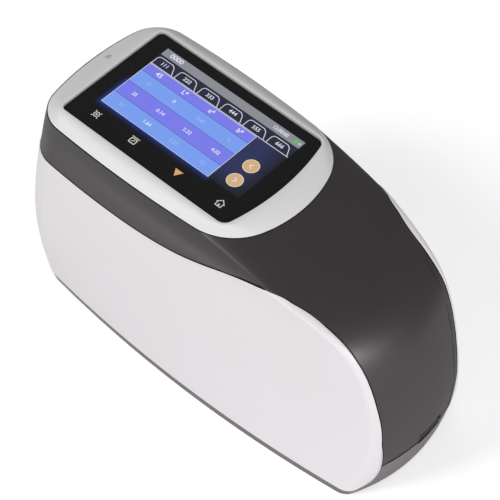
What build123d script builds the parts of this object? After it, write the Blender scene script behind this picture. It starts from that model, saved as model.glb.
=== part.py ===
from build123d import *
import math
import os

# Portable multi-angle colorimeter, laid out in millimetres.
# X runs along the body toward the sloping end with the port, Y across it
# toward the side with the measuring button, Z up from the foot pads.

# ---------------------------------------------------------------- driving sizes
GLASS_TOP_Z = 105.8          # top face of the cover glass
BEZEL_CREST = 0.2            # the bezel stands this much above the glass
RIM_DROP = 4.0               # glass top to the joint of bezel and dark shell
SEAM_Z = 17.6                # joint line between upper and lower dark shells
BASE_Z = 1.0                 # underside of the lower shell
FLOOR_THICK = 3.0            # floor of the lower shell
BEZEL_TOP_Z = GLASS_TOP_Z + BEZEL_CREST
RIM_Z = GLASS_TOP_Z - RIM_DROP
FLOOR_Z = BASE_Z + FLOOR_THICK
FOOT_Z = 0.0                 # ground

RIM_LEFT_X = -83.4           # left end of the rim outline
RIM_RIGHT_X = 24.0           # right end of the body just under the rim
RIM_HALF_WIDTH = 33.1        # half width at the left rim corners
RIM_END_HALF_WIDTH = 32.2    # half width at the right rim corners

SPINE_RUN_PER_DROP = 3.86    # shallow slope of the spine just past the bezel
SPINE_END_X = 94.8           # where the end wall would stand if it never tucked
SPINE_END_LEAN = 18.7        # how far that end wall leans back at the rim
SPINE_TURN = 31.3            # softness of the turn between the two
SPINE_TUCK = 6.9             # how far the end draws in again at the foot
END_PLAN_RADIUS = 66.0       # plan radius of the sloping end
RIM_END_BULGE = 3.0          # extra bulge of the end arc right at the rim
BULGE_FADE = 6.0             # depth over which that bulge dies out

CREASE_TAPER = 0.20          # narrowing of the crease per mm along the spine
CREASE_TAPER_X = 50.1        # spine reach at which the narrowing starts
CREASE_TAPER_SOFT = 4.5      # softness of that start
FOOT_FLARE = 8.65            # widening of the end corners at the foot

LEFT_LEAN = 10.5             # outward lean of the left end
LEFT_TUCK = 5.1              # how far the left end draws in again at the foot
SIDE_LEAN = 3.95             # outward lean of the sides at the left corners
SIDE_TUCK = 4.0              # how far the sides draw in again at the foot
LEFT_BULGE = 4.9             # bulge of the left end in plan at the rim
LEFT_BULGE_LOSS = 1.1        # bulge lost by the foot
SIDE_BULGE = 2.15            # bulge of the sides in plan at the rim
SIDE_BULGE_GAIN = 3.6        # bulge gained by the foot
LEFT_CORNER = 15.3           # plan corner radius, left, at the rim
LEFT_CORNER_LOSS = 2.7       # radius lost by the foot
CREASE_CORNER = 2.5          # tightest plan corner radius at the crease
CREASE_CORNER_GAIN = 4.0     # radius gained by the foot
RIM_CORNER = 24.7            # plan corner radius, right, at the rim
CORNER_FADE = 3.75           # depth over which the rim corner tightens
TUCK_START = 0.49            # fraction of the depth at which the tuck begins

LOFT_LEVELS = 13             # number of lofted plan sections
LEVEL_BUNCHING = 1.7         # sections crowd toward the rim by this power

PANEL_THICK = 2.0            # white side panels
PANEL_PROUD = 0.3            # panels stand this much off the dark shell
PANEL_GAP = 0.25             # visible line round a panel
WALL = 4.6                   # dark wall, panel recess included
ROOF = 3.0                   # dark wall over the spine, measured down
MIN_CORNER = 0.8             # least plan corner radius after an inset

PANEL_FOOT = 2.2             # lower edge of the white panels above the base
PANEL_FOOT_RISE = 1.5        # and how much it rises toward the left end
PANEL_LEFT_DROP = 18.3       # rim to their upper edge at the left end
PANEL_DIP = (-52.0, 23.0)    # lowest point of the upper edge: x, and drop from the rim
PANEL_RISE = (8.0, 16.8)     # where the upper edge climbs
PANEL_CREST = (39.2, 7.8)    # highest point, where it meets the crease
PANEL_TURN_DROP = 10.6       # from this drop on, the edge follows the crease
PANEL_WRAP = 0.4             # how far it wraps past the crease
PANEL_WRAP_GAIN = 2.5        # extra wrap at the foot
PANEL_END_CORNER = 8.5       # lower right corner radius of the panels
PANEL_END_POINTS = 8         # points of the edge along the crease

BEZEL_LEFT = 12.0            # bezel width at the left end
BEZEL_RIGHT = 11.7           # at the right corners
BEZEL_SIDE = 6.0             # along the sides
GLASS_LEFT_X = RIM_LEFT_X + BEZEL_LEFT
GLASS_RIGHT_X = RIM_RIGHT_X - BEZEL_RIGHT
GLASS_HALF_WIDTH = RIM_HALF_WIDTH - BEZEL_SIDE
GLASS_END_BULGE = 3.9        # the right edge of the glass is an arc
GLASS_EDGE_BULGE = 0.12      # the other edges are all but straight
GLASS_CORNER_LEFT = 2.4
GLASS_CORNER_RIGHT = 4.0
GLASS_THICK = 1.1
GLASS_GAP = 0.15             # gap between glass and bezel
GASKET_THICK = 0.4
GASKET_WIDTH = 1.6
BEZEL_SPIGOT = 3.0           # bezel lip reaching down into the shell
SPIGOT_INSET = 6.0
SPIGOT_GAP = 0.15
BEZEL_DOME = 1.5             # power of the bezel crown
BEZEL_STEPS = 4
LIP = 1.0                    # flat lip of the bezel round the glass
SHADOW_LINE = 0.4            # height of the groove under the bezel rim
SHADOW_DEPTH = 1.4           # how far that groove goes in

LCD_SIZE = (71.0, 35.8)      # picture area
LCD_MARGIN = (8.3, 5.2)      # glass edge to picture, at the left and at the far side
LCD_X = (GLASS_LEFT_X + LCD_MARGIN[0], GLASS_LEFT_X + LCD_MARGIN[0] + LCD_SIZE[0])
LCD_Y = (GLASS_HALF_WIDTH - LCD_MARGIN[1] - LCD_SIZE[1], GLASS_HALF_WIDTH - LCD_MARGIN[1])
LCD_BORDER = 2.6             # dead border of the display panel
LCD_THICK = 1.4
TRAY_THICK = 1.8

DIMPLE_IN = 5.8              # status lamp in from the left end of the rim
DIMPLE_X = RIM_LEFT_X + DIMPLE_IN
DIMPLE_Y = 4.0
PIPE_RADIUS = 1.2
LAMP_BOARD = (5.6, 8.0, 1.0)

CHASSIS_DROP = 3.8           # rim to the top of the chassis
CHASSIS_TOP_Z = RIM_Z - CHASSIS_DROP
CHASSIS_THICK = 1.6
CHASSIS_INSET = (9.4, 5.8)   # chassis in from the rim's left and right ends
CHASSIS_X = (RIM_LEFT_X + CHASSIS_INSET[0], RIM_RIGHT_X - CHASSIS_INSET[1])
CHASSIS_HALF_WIDTH = 18.6
CHASSIS_BOSS = 3.0           # radius of the bosses that hold the chassis
CHASSIS_POST_IN = 4.0        # chassis posts in from its ends
CHASSIS_POSTS_X = (CHASSIS_X[0] + CHASSIS_POST_IN, CHASSIS_X[1] - CHASSIS_POST_IN)
CHASSIS_POSTS_Y = 14.0
CHASSIS_TAB = (20.0, 1.6, 12.4)   # tab that carries the button switch
BOARD_POSTS_X = (-60.0, 6.0)
BOARD_POSTS_Y = 11.0
FLEX_X = -30.0
FLEX_WIDTH = 14.0
FLEX_THICK = 0.3
FLEX_FOOT = 4.0
FLEX_SLOT = 3.0
BUZZER_R = 5.0
BUZZER_H = 4.0
BUZZER_PORT_R = 1.2
BUZZER_AT = (-50.0, 6.0)
BOARD_GAP = 3.4              # chassis to main board
BOARD_THICK = 1.6
BOARD_INSET = 3.0            # board smaller than the chassis by this

SCREW_R = 1.5
SCREW_HEAD_R = 2.7
SCREW_HEAD_H = 1.6
RUN_FIT = 0.05               # radial clearance of pins and screws

APERTURE_X = -42.0           # measuring opening, on the long centre line
APERTURE_R = 7.0
RING_WALL = 5.5              # opening to the outside of the ring's neck
RING_FLANGE = 3.5            # flange reaches this far past the neck
RING_NECK_R = APERTURE_R + RING_WALL
RING_FLANGE_R = RING_NECK_R + RING_FLANGE
RING_DROP = 0.6              # ring stands this much below the lower shell
RING_SEAT = 1.0              # depth of the flange seat in the lower shell
WINDOW_LAP = 2.0             # window overlaps the ring by this
WINDOW_R = APERTURE_R + WINDOW_LAP
WINDOW_THICK = 1.2

HEAD_R = 38.0                # half-round measuring head over the opening
HEAD_HALF_WIDTH = 18.0
HEAD_CAVITY_R = 11.0
LIGHT_PATH_R = 2.0
TUBE_R = 4.5
TUBE_WALL = 1.0
TUBE_SEAT = 15.0             # depth of a tube's seat in the head
TUBE_STAND_OUT = 3.0         # and how far the tube stands out of it
TUBE_IN = HEAD_R - TUBE_SEAT
TUBE_OUT = HEAD_R + TUBE_STAND_OUT
LAMP_ANGLES = (-70.0, -45.0, -20.0)
RECEIVER_ANGLES = (20.0, 45.0, 70.0)
LENS_THICK = 2.0
LENS_IN = 3.0                # lens from the inner end of its tube
END_BOARD = (10.0, 10.0, 1.2)
LAMP_CAN = (2.6, 2.4)        # lamp radius and length, outside the board
DETECTOR = (7.0, 7.0, 2.6)
CAMERA_R = 4.0
CAMERA_SEAT = 5.0            # depth of the camera's seat in the head
CAMERA_STAND_OUT = 2.5
CAMERA_IN = HEAD_R - CAMERA_SEAT
CAMERA_OUT = HEAD_R + CAMERA_STAND_OUT
FLANGE_LENGTH = 44.0
FLANGE_REACH = 8.0           # flange past the sides of the head
FLANGE_THICK = 3.0
FLANGE_SCREW_IN = 4.0        # its screws in from its edges
FLANGE_SCREW_X = FLANGE_LENGTH / 2 - FLANGE_SCREW_IN
FLANGE_SCREW_Y = HEAD_HALF_WIDTH + FLANGE_REACH - FLANGE_SCREW_IN
FLOOR_SCREW_DEPTH = 2.4      # thread engaged in the floor

CELL_R = 9.2
CELL_LENGTH = 60.0
CELL_X0 = 5.0
CELL_SPREAD = 9.4            # cell axes off the centre line
CELL_SEAT = 1.0              # least tray thickness under a cell
TRAY_HALF_WIDTH = 19.4
TRAY_WALL_H = 5.0
CELL_TIP = (3.0, 0.5)        # radius and length of a cell's raised end
BRIDGE_LENGTH = 58.0
BRIDGE_X = (CELL_X0, CELL_X0 + BRIDGE_LENGTH)
BRIDGE_HALF_WIDTH = 21.6
BRIDGE_THICK = 1.5
BRIDGE_CLEAR = 2.1           # cells to the bridge over them
BRIDGE_TOP_Z = FLOOR_Z + CELL_SEAT + 2 * CELL_R + BRIDGE_CLEAR + BRIDGE_THICK
BRIDGE_TAB = 6.0
BRIDGE_SCREW_IN = 9.0        # bridge screws in from its ends
BRIDGE_SCREW_X = (BRIDGE_X[0] + BRIDGE_SCREW_IN, BRIDGE_X[1] - BRIDGE_SCREW_IN)
POWER_BOARD = (50.0, 34.0, 1.6)
POWER_GAP = 3.0
POWER_POST_R = 2.2

PORT_Y = (-3.0, 10.6)        # recess in the sloping end, straddling the seam
PORT_HEIGHT = 4.7
PORT_DEPTH = 14.8            # recess in from the end of the body
PORT_DEPTH_X = SPINE_END_X - PORT_DEPTH
PORT_CORNER = 0.9
USB_Y = 6.45
USB_SIZE = (7.6, 7.5, 2.6)
USB_OVERHANG = 2.6           # socket reaches this far past its board
USB_WALL = 0.35
USB_TONGUE = 0.7
PORT_BOARD = (18.0, 22.0, 1.4)
PORT_BOARD_IN = 9.2          # front edge of the port board in from the end
PORT_FRONT_X = SPINE_END_X - PORT_BOARD_IN
SWITCH_Y = -0.15
SWITCH_BODY = (3.6, 5.2, 3.0)
SWITCH_TRAVEL = 2.0
SWITCH_KNOB = (1.3, 1.3)
SWITCH_KNOB_REACH = 2.6
SWITCH_GAP = 0.25

BUTTON_X = -24.0             # measuring button, on the side away from the keys
BUTTON_DROP = 11.2           # rim to the middle of the button
BUTTON_Z = RIM_Z - BUTTON_DROP
BUTTON_LENGTH = 20.0
BUTTON_HEIGHT = 8.0
BUTTON_GAP = 0.3
BUTTON_STAND_OFF = 1.0
BUTTON_TRAVEL = 0.8
BUTTON_FLANGE = 1.6          # flange reaches this far past the hole
BUTTON_FLANGE_THICK = 1.2
BUTTON_DEPTH = 6.6           # outside of the body to the inner face of the flange
PLUNGER_R = 1.75
PLUNGER_SPARE = 1.0          # stroke left in the switch when the button is in
PLUNGER_ENTRY = 0.4          # the plunger already stands this far in the switch
PLUNGER_LENGTH = BUTTON_TRAVEL + PLUNGER_SPARE + PLUNGER_ENTRY
TACT = (6.2, 3.4, 6.2)
TACT_SOCKET = BUTTON_TRAVEL + PLUNGER_SPARE
TACT_BOARD_THICK = 1.4
TACT_BOARD_SIZE = (16.0, 9.0)

BOSS_R = 3.6
LEFT_BOSS_IN = (13.4, 4.9)   # left bosses in from the rim's end and side
LEFT_BOSS = (RIM_LEFT_X + LEFT_BOSS_IN[0], RIM_HALF_WIDTH - LEFT_BOSS_IN[1])
RIGHT_BOSS_IN = (24.3, 11.6)
RIGHT_BOSS = (SPINE_END_X - RIGHT_BOSS_IN[0], RIM_END_HALF_WIDTH - RIGHT_BOSS_IN[1])
BOSS_RISE = 16.4             # bosses above the seam
BOSS_TOP_Z = SEAM_Z + BOSS_RISE
BOSS_WEB = (2.4, 4.8)        # web from a boss to the wall: thickness, reach
BOSS_ROOM = 0.3              # room round a boss where it passes the lower shell
COUNTERBORE = 2.0
FOOT_R = 5.0
FOOT_SEAT = 0.6
FEET_AT = ((-74.0, 13.0), (66.0, 9.0))

DISH = 1.15                  # shallow dish on top of the status lamp
GLASS_CHAMFER = 0.15
BUTTON_ROUND = 0.7

# parts under the main board: centre x, y, then width, depth, height
CHIPS = (
    (-30.0, -2.0, 14.0, 14.0, 1.6),
    (-12.0, 5.0, 10.0, 8.0, 1.2),
    (-48.0, -8.0, 8.0, 6.0, 1.2),
    (-7.0, -8.0, 9.0, 5.0, 3.0),
)
# parts on the power board, measured from its middle
POWER_PARTS = (
    (-14.0, 5.0, 12.0, 12.0, 6.0),
    (4.0, -6.0, 7.0, 7.0, 4.0),
    (16.0, 4.0, 8.0, 10.0, 8.0),
)

PANEL_LEAD = (1.0, -0.3)     # direction of the panel's upper edge at the left
CHIP_HALF = 1.0              # half width of the status lamp itself
TONGUE_HALF = 2.0            # half width of the socket's tongue
OVER = 1.0                   # cutters reach past a face by this
FAR = 200.0                  # beyond everything

PARTS = "parts"
os.makedirs(PARTS, exist_ok=True)


# ---------------------------------------------------------------- plan sections
def soft_min(a, b, soft):
    return (a + b - math.sqrt((a - b) ** 2 + soft ** 2)) / 2


def body_outline(z):
    """Virtual corners, bulges and corner radii of the body at one height."""
    depth = max(RIM_Z - z, 0.0)
    u = depth / (RIM_Z - BASE_Z)
    ease = 1 - (1 - u) ** 2
    ease3 = 1 - (1 - u) ** 3
    tuck = max(0.0, (u - TUCK_START) / (1 - TUCK_START)) ** 2
    slope_x = RIM_RIGHT_X + depth * SPINE_RUN_PER_DROP
    wall_x = SPINE_END_X - SPINE_END_LEAN * (1 - u) ** 2
    reach = soft_min(slope_x, wall_x, SPINE_TURN)
    start = soft_min(RIM_RIGHT_X, SPINE_END_X - SPINE_END_LEAN, SPINE_TURN)
    reach += (RIM_RIGHT_X - start) * (1 - u) ** 3
    past = reach - CREASE_TAPER_X
    past = (past + math.sqrt(past ** 2 + CREASE_TAPER_SOFT ** 2)) / 2
    end_half = RIM_END_HALF_WIDTH - CREASE_TAPER * past + FOOT_FLARE * tuck
    sag = END_PLAN_RADIUS - math.sqrt(END_PLAN_RADIUS ** 2 - end_half ** 2)
    return {
        "left": RIM_LEFT_X - LEFT_LEAN * ease + LEFT_TUCK * tuck,
        "left_bulge": LEFT_BULGE - LEFT_BULGE_LOSS * u,
        "left_half": RIM_HALF_WIDTH + SIDE_LEAN * ease - SIDE_TUCK * tuck,
        "left_corner": LEFT_CORNER - LEFT_CORNER_LOSS * ease3,
        "side_bulge": SIDE_BULGE + SIDE_BULGE_GAIN * ease3,
        "right": reach - SPINE_TUCK * tuck - sag,
        "right_half": end_half,
        "right_bulge": sag + RIM_END_BULGE * math.exp(-depth / BULGE_FADE),
        "right_corner": CREASE_CORNER + CREASE_CORNER_GAIN * u
        + (RIM_CORNER - CREASE_CORNER) * math.exp(-depth / CORNER_FADE),
    }


def glass_outline():
    return {
        "left": GLASS_LEFT_X - GLASS_EDGE_BULGE,
        "left_bulge": GLASS_EDGE_BULGE,
        "left_half": GLASS_HALF_WIDTH,
        "left_corner": GLASS_CORNER_LEFT,
        "side_bulge": GLASS_EDGE_BULGE,
        "right": GLASS_RIGHT_X,
        "right_half": GLASS_HALF_WIDTH,
        "right_bulge": GLASS_END_BULGE,
        "right_corner": GLASS_CORNER_RIGHT,
    }


def blend(a, b, t):
    return {key: a[key] + (b[key] - a[key]) * t for key in a}


def circle_through(p, q, sag):
    """Centre and radius of the arc from p to q that bulges to its left."""
    chord = math.dist(p, q)
    radius = (chord ** 2 / 4 + sag ** 2) / (2 * sag)
    nx = -(q[1] - p[1]) / chord
    ny = (q[0] - p[0]) / chord
    mx = (p[0] + q[0]) / 2
    my = (p[1] + q[1]) / 2
    return (mx + nx * (sag - radius), my + ny * (sag - radius)), radius


def inner_fillet(c1, r1, c2, r2, r, near):
    """Fillet of radius r inside two circles, with its two tangent points."""
    a1 = r1 - r
    a2 = r2 - r
    gap = math.dist(c1, c2)
    along = (a1 ** 2 - a2 ** 2 + gap ** 2) / (2 * gap)
    across = math.sqrt(max(a1 ** 2 - along ** 2, 0.0))
    ux = (c2[0] - c1[0]) / gap
    uy = (c2[1] - c1[1]) / gap
    options = []
    for side in (1, -1):
        cx = c1[0] + along * ux - side * across * uy
        cy = c1[1] + along * uy + side * across * ux
        options.append((cx, cy))
    centre = min(options, key=lambda c: math.dist(c, near))
    touch = []
    for c0, r0 in ((c1, r1), (c2, r2)):
        d = math.dist(c0, centre)
        tx = c0[0] + (centre[0] - c0[0]) / d * r0
        ty = c0[1] + (centre[1] - c0[1]) / d * r0
        touch.append((tx, ty))
    return centre, touch[0], touch[1]


def arc_edge(centre, radius, p, q, z):
    a = math.atan2(p[1] - centre[1], p[0] - centre[0])
    b = math.atan2(q[1] - centre[1], q[0] - centre[0])
    turn = (b - a + math.pi) % (2 * math.pi) - math.pi
    m = a + turn / 2
    mid = (centre[0] + radius * math.cos(m), centre[1] + radius * math.sin(m), z)
    return Edge.make_three_point_arc((p[0], p[1], z), mid, (q[0], q[1], z))


def crease_x(z):
    """X of the line where the corner of the body runs out into the sloping end."""
    shape = body_outline(z)
    left_in = shape["left"] + shape["left_bulge"]
    corner_r = (shape["right"], shape["right_half"])
    low_r = (corner_r[0], -corner_r[1])
    side_c, side_r = circle_through((left_in, shape["left_half"]), corner_r, shape["side_bulge"])
    end_c, end_r = circle_through(corner_r, low_r, shape["right_bulge"])
    touch = inner_fillet(side_c, side_r, end_c, end_r, shape["right_corner"], corner_r)
    return touch[2][0]


def outline_wire(shape, z, inset=0.0):
    """Closed outline of eight tangent arcs, mirrored about the centre line."""
    left_in = shape["left"] + shape["left_bulge"]
    corner_l = (left_in, shape["left_half"])
    corner_r = (shape["right"], shape["right_half"])
    side_c, side_r = circle_through(corner_l, corner_r, shape["side_bulge"])
    low_r = (corner_r[0], -corner_r[1])
    low_l = (corner_l[0], -corner_l[1])
    right_c, right_r = circle_through(corner_r, low_r, shape["right_bulge"])
    left_c, left_r = circle_through(low_l, corner_l, shape["left_bulge"])
    side_r -= inset
    right_r -= inset
    left_r -= inset
    rr = max(shape["right_corner"] - inset, MIN_CORNER)
    rl = max(shape["left_corner"] - inset, MIN_CORNER)
    fr, a1, a2 = inner_fillet(side_c, side_r, right_c, right_r, rr, corner_r)
    fl, b1, b2 = inner_fillet(left_c, left_r, side_c, side_r, rl, corner_l)

    def flip(p):
        return (p[0], -p[1])

    edges = [
        arc_edge(left_c, left_r, flip(b1), b1, z),
        arc_edge(fl, rl, b1, b2, z),
        arc_edge(side_c, side_r, b2, a1, z),
        arc_edge(fr, rr, a1, a2, z),
        arc_edge(right_c, right_r, a2, flip(a2), z),
        arc_edge(flip(fr), rr, flip(a2), flip(a1), z),
        arc_edge(flip(side_c), side_r, flip(a1), flip(b2), z),
        arc_edge(flip(fl), rl, flip(b2), flip(b1), z),
    ]
    return Wire(edges)


def upright(shape, z0, z1, inset=0.0):
    """Prism on an outline between two heights."""
    face = Face(outline_wire(shape, z0, inset))
    return extrude(face, amount=z1 - z0, dir=(0, 0, 1))


def levels(low, high):
    """Heights that crowd toward the rim."""
    out = []
    for i in range(LOFT_LEVELS):
        out.append(high - (high - low) * (i / (LOFT_LEVELS - 1)) ** LEVEL_BUNCHING)
    return out


def body_loft(low, high, inset=0.0, lift=0.0):
    """Solid through the plan sections; lift takes each section from higher up."""
    wires = []
    for z in levels(low, high):
        wires.append(outline_wire(body_outline(z + lift), z, inset))
    return Solid.make_loft(wires)


def box(x0, x1, y0, y1, z0, z1):
    size = Box(x1 - x0, y1 - y0, z1 - z0)
    return Pos((x0 + x1) / 2, (y0 + y1) / 2, (z0 + z1) / 2) * size


def block(x, y, wide, deep, z0, z1):
    """Box standing on a point of the plan."""
    return Pos(x, y, (z0 + z1) / 2) * Box(wide, deep, z1 - z0)


def rod(x, y, z0, z1, r):
    return Pos(x, y, (z0 + z1) / 2) * Cylinder(r, z1 - z0)


def mirrored(points):
    out = []
    for x, y in points:
        out.append((x, y))
        out.append((x, -y))
    return out


def save(name, shape):
    solids = shape.solids()
    item = solids[0] if len(solids) == 1 else Compound(children=list(solids))
    item.label = name
    export_step(item, os.path.join(PARTS, name + ".step"))
    print(name, len(solids), "solid(s)", round(sum(s.volume for s in solids), 1))


# ---------------------------------------------------------------- shells
rim = body_outline(RIM_Z)
hull = body_loft(BASE_Z, RIM_Z)
cavity = body_loft(FLOOR_Z, RIM_Z - ROOF, WALL, ROOF)
skin_back = body_loft(BASE_Z - PANEL_PROUD, RIM_Z, PANEL_THICK)
skin_front = body_loft(BASE_Z, RIM_Z, -PANEL_PROUD)
well = upright(rim, RIM_Z - ROOF - PANEL_THICK, RIM_Z + PANEL_THICK, SPIGOT_INSET)


def panel_end_x(z):
    """The panel's edge wraps a little past the crease, and more toward the foot."""
    u = (RIM_Z - z) / (RIM_Z - BASE_Z)
    return crease_x(z) + PANEL_WRAP + PANEL_WRAP_GAIN * u ** 4


def panel_outline(gap):
    """Side view of a white panel, open-ended past the left of the body."""
    far_left = RIM_LEFT_X - LEFT_LEAN - PANEL_THICK
    left_top = RIM_Z - PANEL_LEFT_DROP - gap
    foot = BASE_Z + PANEL_FOOT + gap
    r = PANEL_END_CORNER
    points = [(far_left, left_top)]
    for x, drop in (PANEL_DIP, PANEL_RISE, PANEL_CREST):
        points.append((x, RIM_Z - drop - gap))
    turn_z = RIM_Z - PANEL_TURN_DROP
    for i in range(PANEL_END_POINTS):
        z = turn_z - (turn_z - foot - r) * (i / (PANEL_END_POINTS - 1)) ** LEVEL_BUNCHING
        points.append((panel_end_x(z) - gap, z - gap * (1 - i / (PANEL_END_POINTS - 1))))
    top = Spline(points, tangents=[PANEL_LEAD, (0, -1)])
    end_x = points[-1][0]
    knee = RadiusArc((end_x, foot + r), (end_x - r, foot), r)
    base = Line((end_x - r, foot), (far_left, foot + PANEL_FOOT_RISE))
    shut = Line((far_left, foot + PANEL_FOOT_RISE), (far_left, left_top))
    return make_face(Wire([top.edge(), knee.edge(), base.edge(), shut.edge()]))


def panel_prism(gap):
    """Near half: the outline pushed from the centre plane to beyond the side."""
    face = Plane.XZ * panel_outline(gap)
    body = extrude(face, amount=FAR, dir=(0, -1, 0))
    return body


near_cut = panel_prism(0.0) - skin_back
far_cut = mirror(near_cut, about=Plane.XZ)

inset_slab = box(-FAR, FAR, -FAR, -PANEL_GAP / 2, -FAR, FAR)
panel_near = (panel_prism(PANEL_GAP) & inset_slab) & (skin_front - skin_back)
panel_far = mirror(panel_near, about=Plane.XZ)

shell = hull - cavity - well - near_cut - far_cut

upper_space = box(-FAR, FAR, -FAR, FAR, SEAM_Z, FAR)
lower_space = box(-FAR, FAR, -FAR, FAR, -FAR, SEAM_Z)
upper_shell = shell & upper_space
base_shell = shell & lower_space

boss_points = mirrored([LEFT_BOSS]) + mirrored([RIGHT_BOSS])
for bx, by in boss_points:
    upper_shell += rod(bx, by, FLOOR_Z, BOSS_TOP_Z, BOSS_R)
    side = math.copysign(BOSS_WEB[1], by)
    web_y = sorted((by, by + side))
    half = BOSS_WEB[0] / 2
    upper_shell += box(bx - half, bx + half, web_y[0], web_y[1], SEAM_Z, BOSS_TOP_Z)
for bx, by in boss_points:
    upper_shell -= rod(bx, by, FLOOR_Z, BOSS_TOP_Z - BOSS_R, SCREW_R + RUN_FIT)
    base_shell -= rod(bx, by, FLOOR_Z, FAR, BOSS_R + BOSS_ROOM)

# port recess: a rounded slot through the end wall, open at the seam
port_mid_y = (PORT_Y[0] + PORT_Y[1]) / 2
port_top = SEAM_Z + PORT_HEIGHT
slot = box(PORT_DEPTH_X, FAR, PORT_Y[0], PORT_Y[1], SEAM_Z, port_top)
slot = fillet(slot.edges().filter_by(Axis.X).group_by(Axis.Z)[-1], PORT_CORNER)
upper_shell -= slot

# oval hole for the measuring button in the far side of the band
button_y = outline_wire(body_outline(BUTTON_Z), BUTTON_Z).bounding_box().max.Y
button_inner_y = button_y - BUTTON_DEPTH
tact_y1 = button_inner_y - BUTTON_TRAVEL - PLUNGER_SPARE
tact_y0 = tact_y1 - TACT[1]
tab_face_y = tact_y0 - TACT_BOARD_THICK


def oval_prism(length, height, y0, y1, grow=0.0):
    sketch = SlotOverall(length + 2 * grow, height + 2 * grow)
    face = Plane.XZ * sketch
    blank = extrude(face, amount=y1 - y0, dir=(0, 1, 0))
    return Pos(BUTTON_X, y0, BUTTON_Z) * blank


upper_shell -= oval_prism(BUTTON_LENGTH, BUTTON_HEIGHT, button_inner_y, FAR, BUTTON_GAP)
save("upper_shell", upper_shell)

# lower shell: measuring opening, foot seats, screw posts and port board posts
base_shell -= rod(APERTURE_X, 0, -FAR, FAR, RING_NECK_R + RUN_FIT)
base_shell -= rod(APERTURE_X, 0, -FAR, BASE_Z + RING_SEAT, RING_FLANGE_R + RUN_FIT)
feet_points = []
for fx, fy in FEET_AT:
    feet_points += mirrored([(fx, fy)])
for fx, fy in feet_points:
    base_shell -= rod(fx, fy, -FAR, BASE_Z + FOOT_SEAT, FOOT_R + RUN_FIT)
for bx, by in boss_points:
    base_shell -= rod(bx, by, -FAR, FAR, SCREW_R + RUN_FIT)
    base_shell -= rod(bx, by, -FAR, BASE_Z + COUNTERBORE, SCREW_HEAD_R + RUN_FIT)
port_board_z = SEAM_Z + (PORT_HEIGHT - USB_SIZE[2]) / 2 - PORT_BOARD[2]
post_x = PORT_FRONT_X - PORT_BOARD[0] + BOSS_R
post_points = []
for side in (-1, 1):
    post_points.append((post_x, port_mid_y + side * PORT_BOARD[1] / 3))
for px, py in post_points:
    base_shell += rod(px, py, FLOOR_Z - MIN_CORNER, port_board_z, BOSS_R - MIN_CORNER)
    base_shell -= rod(px, py, FLOOR_Z, port_board_z, SCREW_R + RUN_FIT)
flange_screws = mirrored([(APERTURE_X - FLANGE_SCREW_X, FLANGE_SCREW_Y)])
flange_screws += mirrored([(APERTURE_X + FLANGE_SCREW_X, FLANGE_SCREW_Y)])
bridge_tab_y = BRIDGE_HALF_WIDTH + BRIDGE_TAB / 2
bridge_screws = []
for sx in BRIDGE_SCREW_X:
    bridge_screws += mirrored([(sx, bridge_tab_y)])
for sx, sy in flange_screws + bridge_screws:
    base_shell -= rod(sx, sy, FLOOR_Z - FLOOR_SCREW_DEPTH, FLOOR_Z, SCREW_R + RUN_FIT)
save("base_shell", base_shell)
save("side_panel_near", panel_near)
save("side_panel_far", panel_far)

# ---------------------------------------------------------------- bezel and screen
glass = glass_outline()
wires = []
for step in range(BEZEL_STEPS + 1):
    t = step / BEZEL_STEPS
    shape = blend(rim, glass, t)
    z = RIM_Z + (BEZEL_TOP_Z - RIM_Z) * (1 - (1 - t) ** BEZEL_DOME)
    wires.append(outline_wire(shape, z, -LIP * t))
bezel = Solid.make_loft(wires)
gasket_z = GLASS_TOP_Z - GLASS_THICK - GASKET_THICK
bezel += upright(rim, RIM_Z - BEZEL_SPIGOT, RIM_Z + SHADOW_LINE, SPIGOT_INSET + SPIGOT_GAP)
groove = upright(rim, RIM_Z, RIM_Z + SHADOW_LINE, -LIP)
groove -= upright(rim, RIM_Z, RIM_Z + SHADOW_LINE, SHADOW_DEPTH)
bezel -= groove
bezel -= upright(glass, gasket_z, FAR, -GLASS_GAP)

# the display panel with its dead border, as x0, x1, y0, y1, and the room for it
display = [LCD_X[0] - LCD_BORDER, LCD_X[1] + LCD_BORDER]
display += [LCD_Y[0] - LCD_BORDER, LCD_Y[1] + LCD_BORDER]
display_room = []
for edge, sign in zip(display, (-1, 1, -1, 1)):
    display_room.append(edge + sign * SPIGOT_GAP)
display_box = box(*display_room, -FAR, FAR)
bezel -= display_box
under = RIM_Z - BEZEL_SPIGOT
hollow = SPIGOT_INSET + SPIGOT_GAP + BOSS_WEB[0]
bezel -= upright(rim, under, RIM_Z, hollow)
posts = []
for px in CHASSIS_POSTS_X:
    posts += mirrored([(px, CHASSIS_POSTS_Y)])
for px, py in posts:
    bezel += rod(px, py, CHASSIS_TOP_Z, RIM_Z + SHADOW_LINE, CHASSIS_BOSS) - display_box
for px, py in posts:
    bezel -= rod(px, py, CHASSIS_TOP_Z, RIM_Z, SCREW_R + RUN_FIT)
channel_top = RIM_Z + PIPE_RADIUS + SHADOW_LINE
bezel -= rod(DIMPLE_X, DIMPLE_Y, RIM_Z, FAR, PIPE_RADIUS + RUN_FIT)
pipe_half = PIPE_RADIUS + RUN_FIT
channel_x = display[0] - LAMP_BOARD[0] / 2
channel_y = (DIMPLE_Y - pipe_half, DIMPLE_Y + pipe_half)
bezel -= box(DIMPLE_X, channel_x, *channel_y, RIM_Z, channel_top)
save("bezel", bezel)

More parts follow.
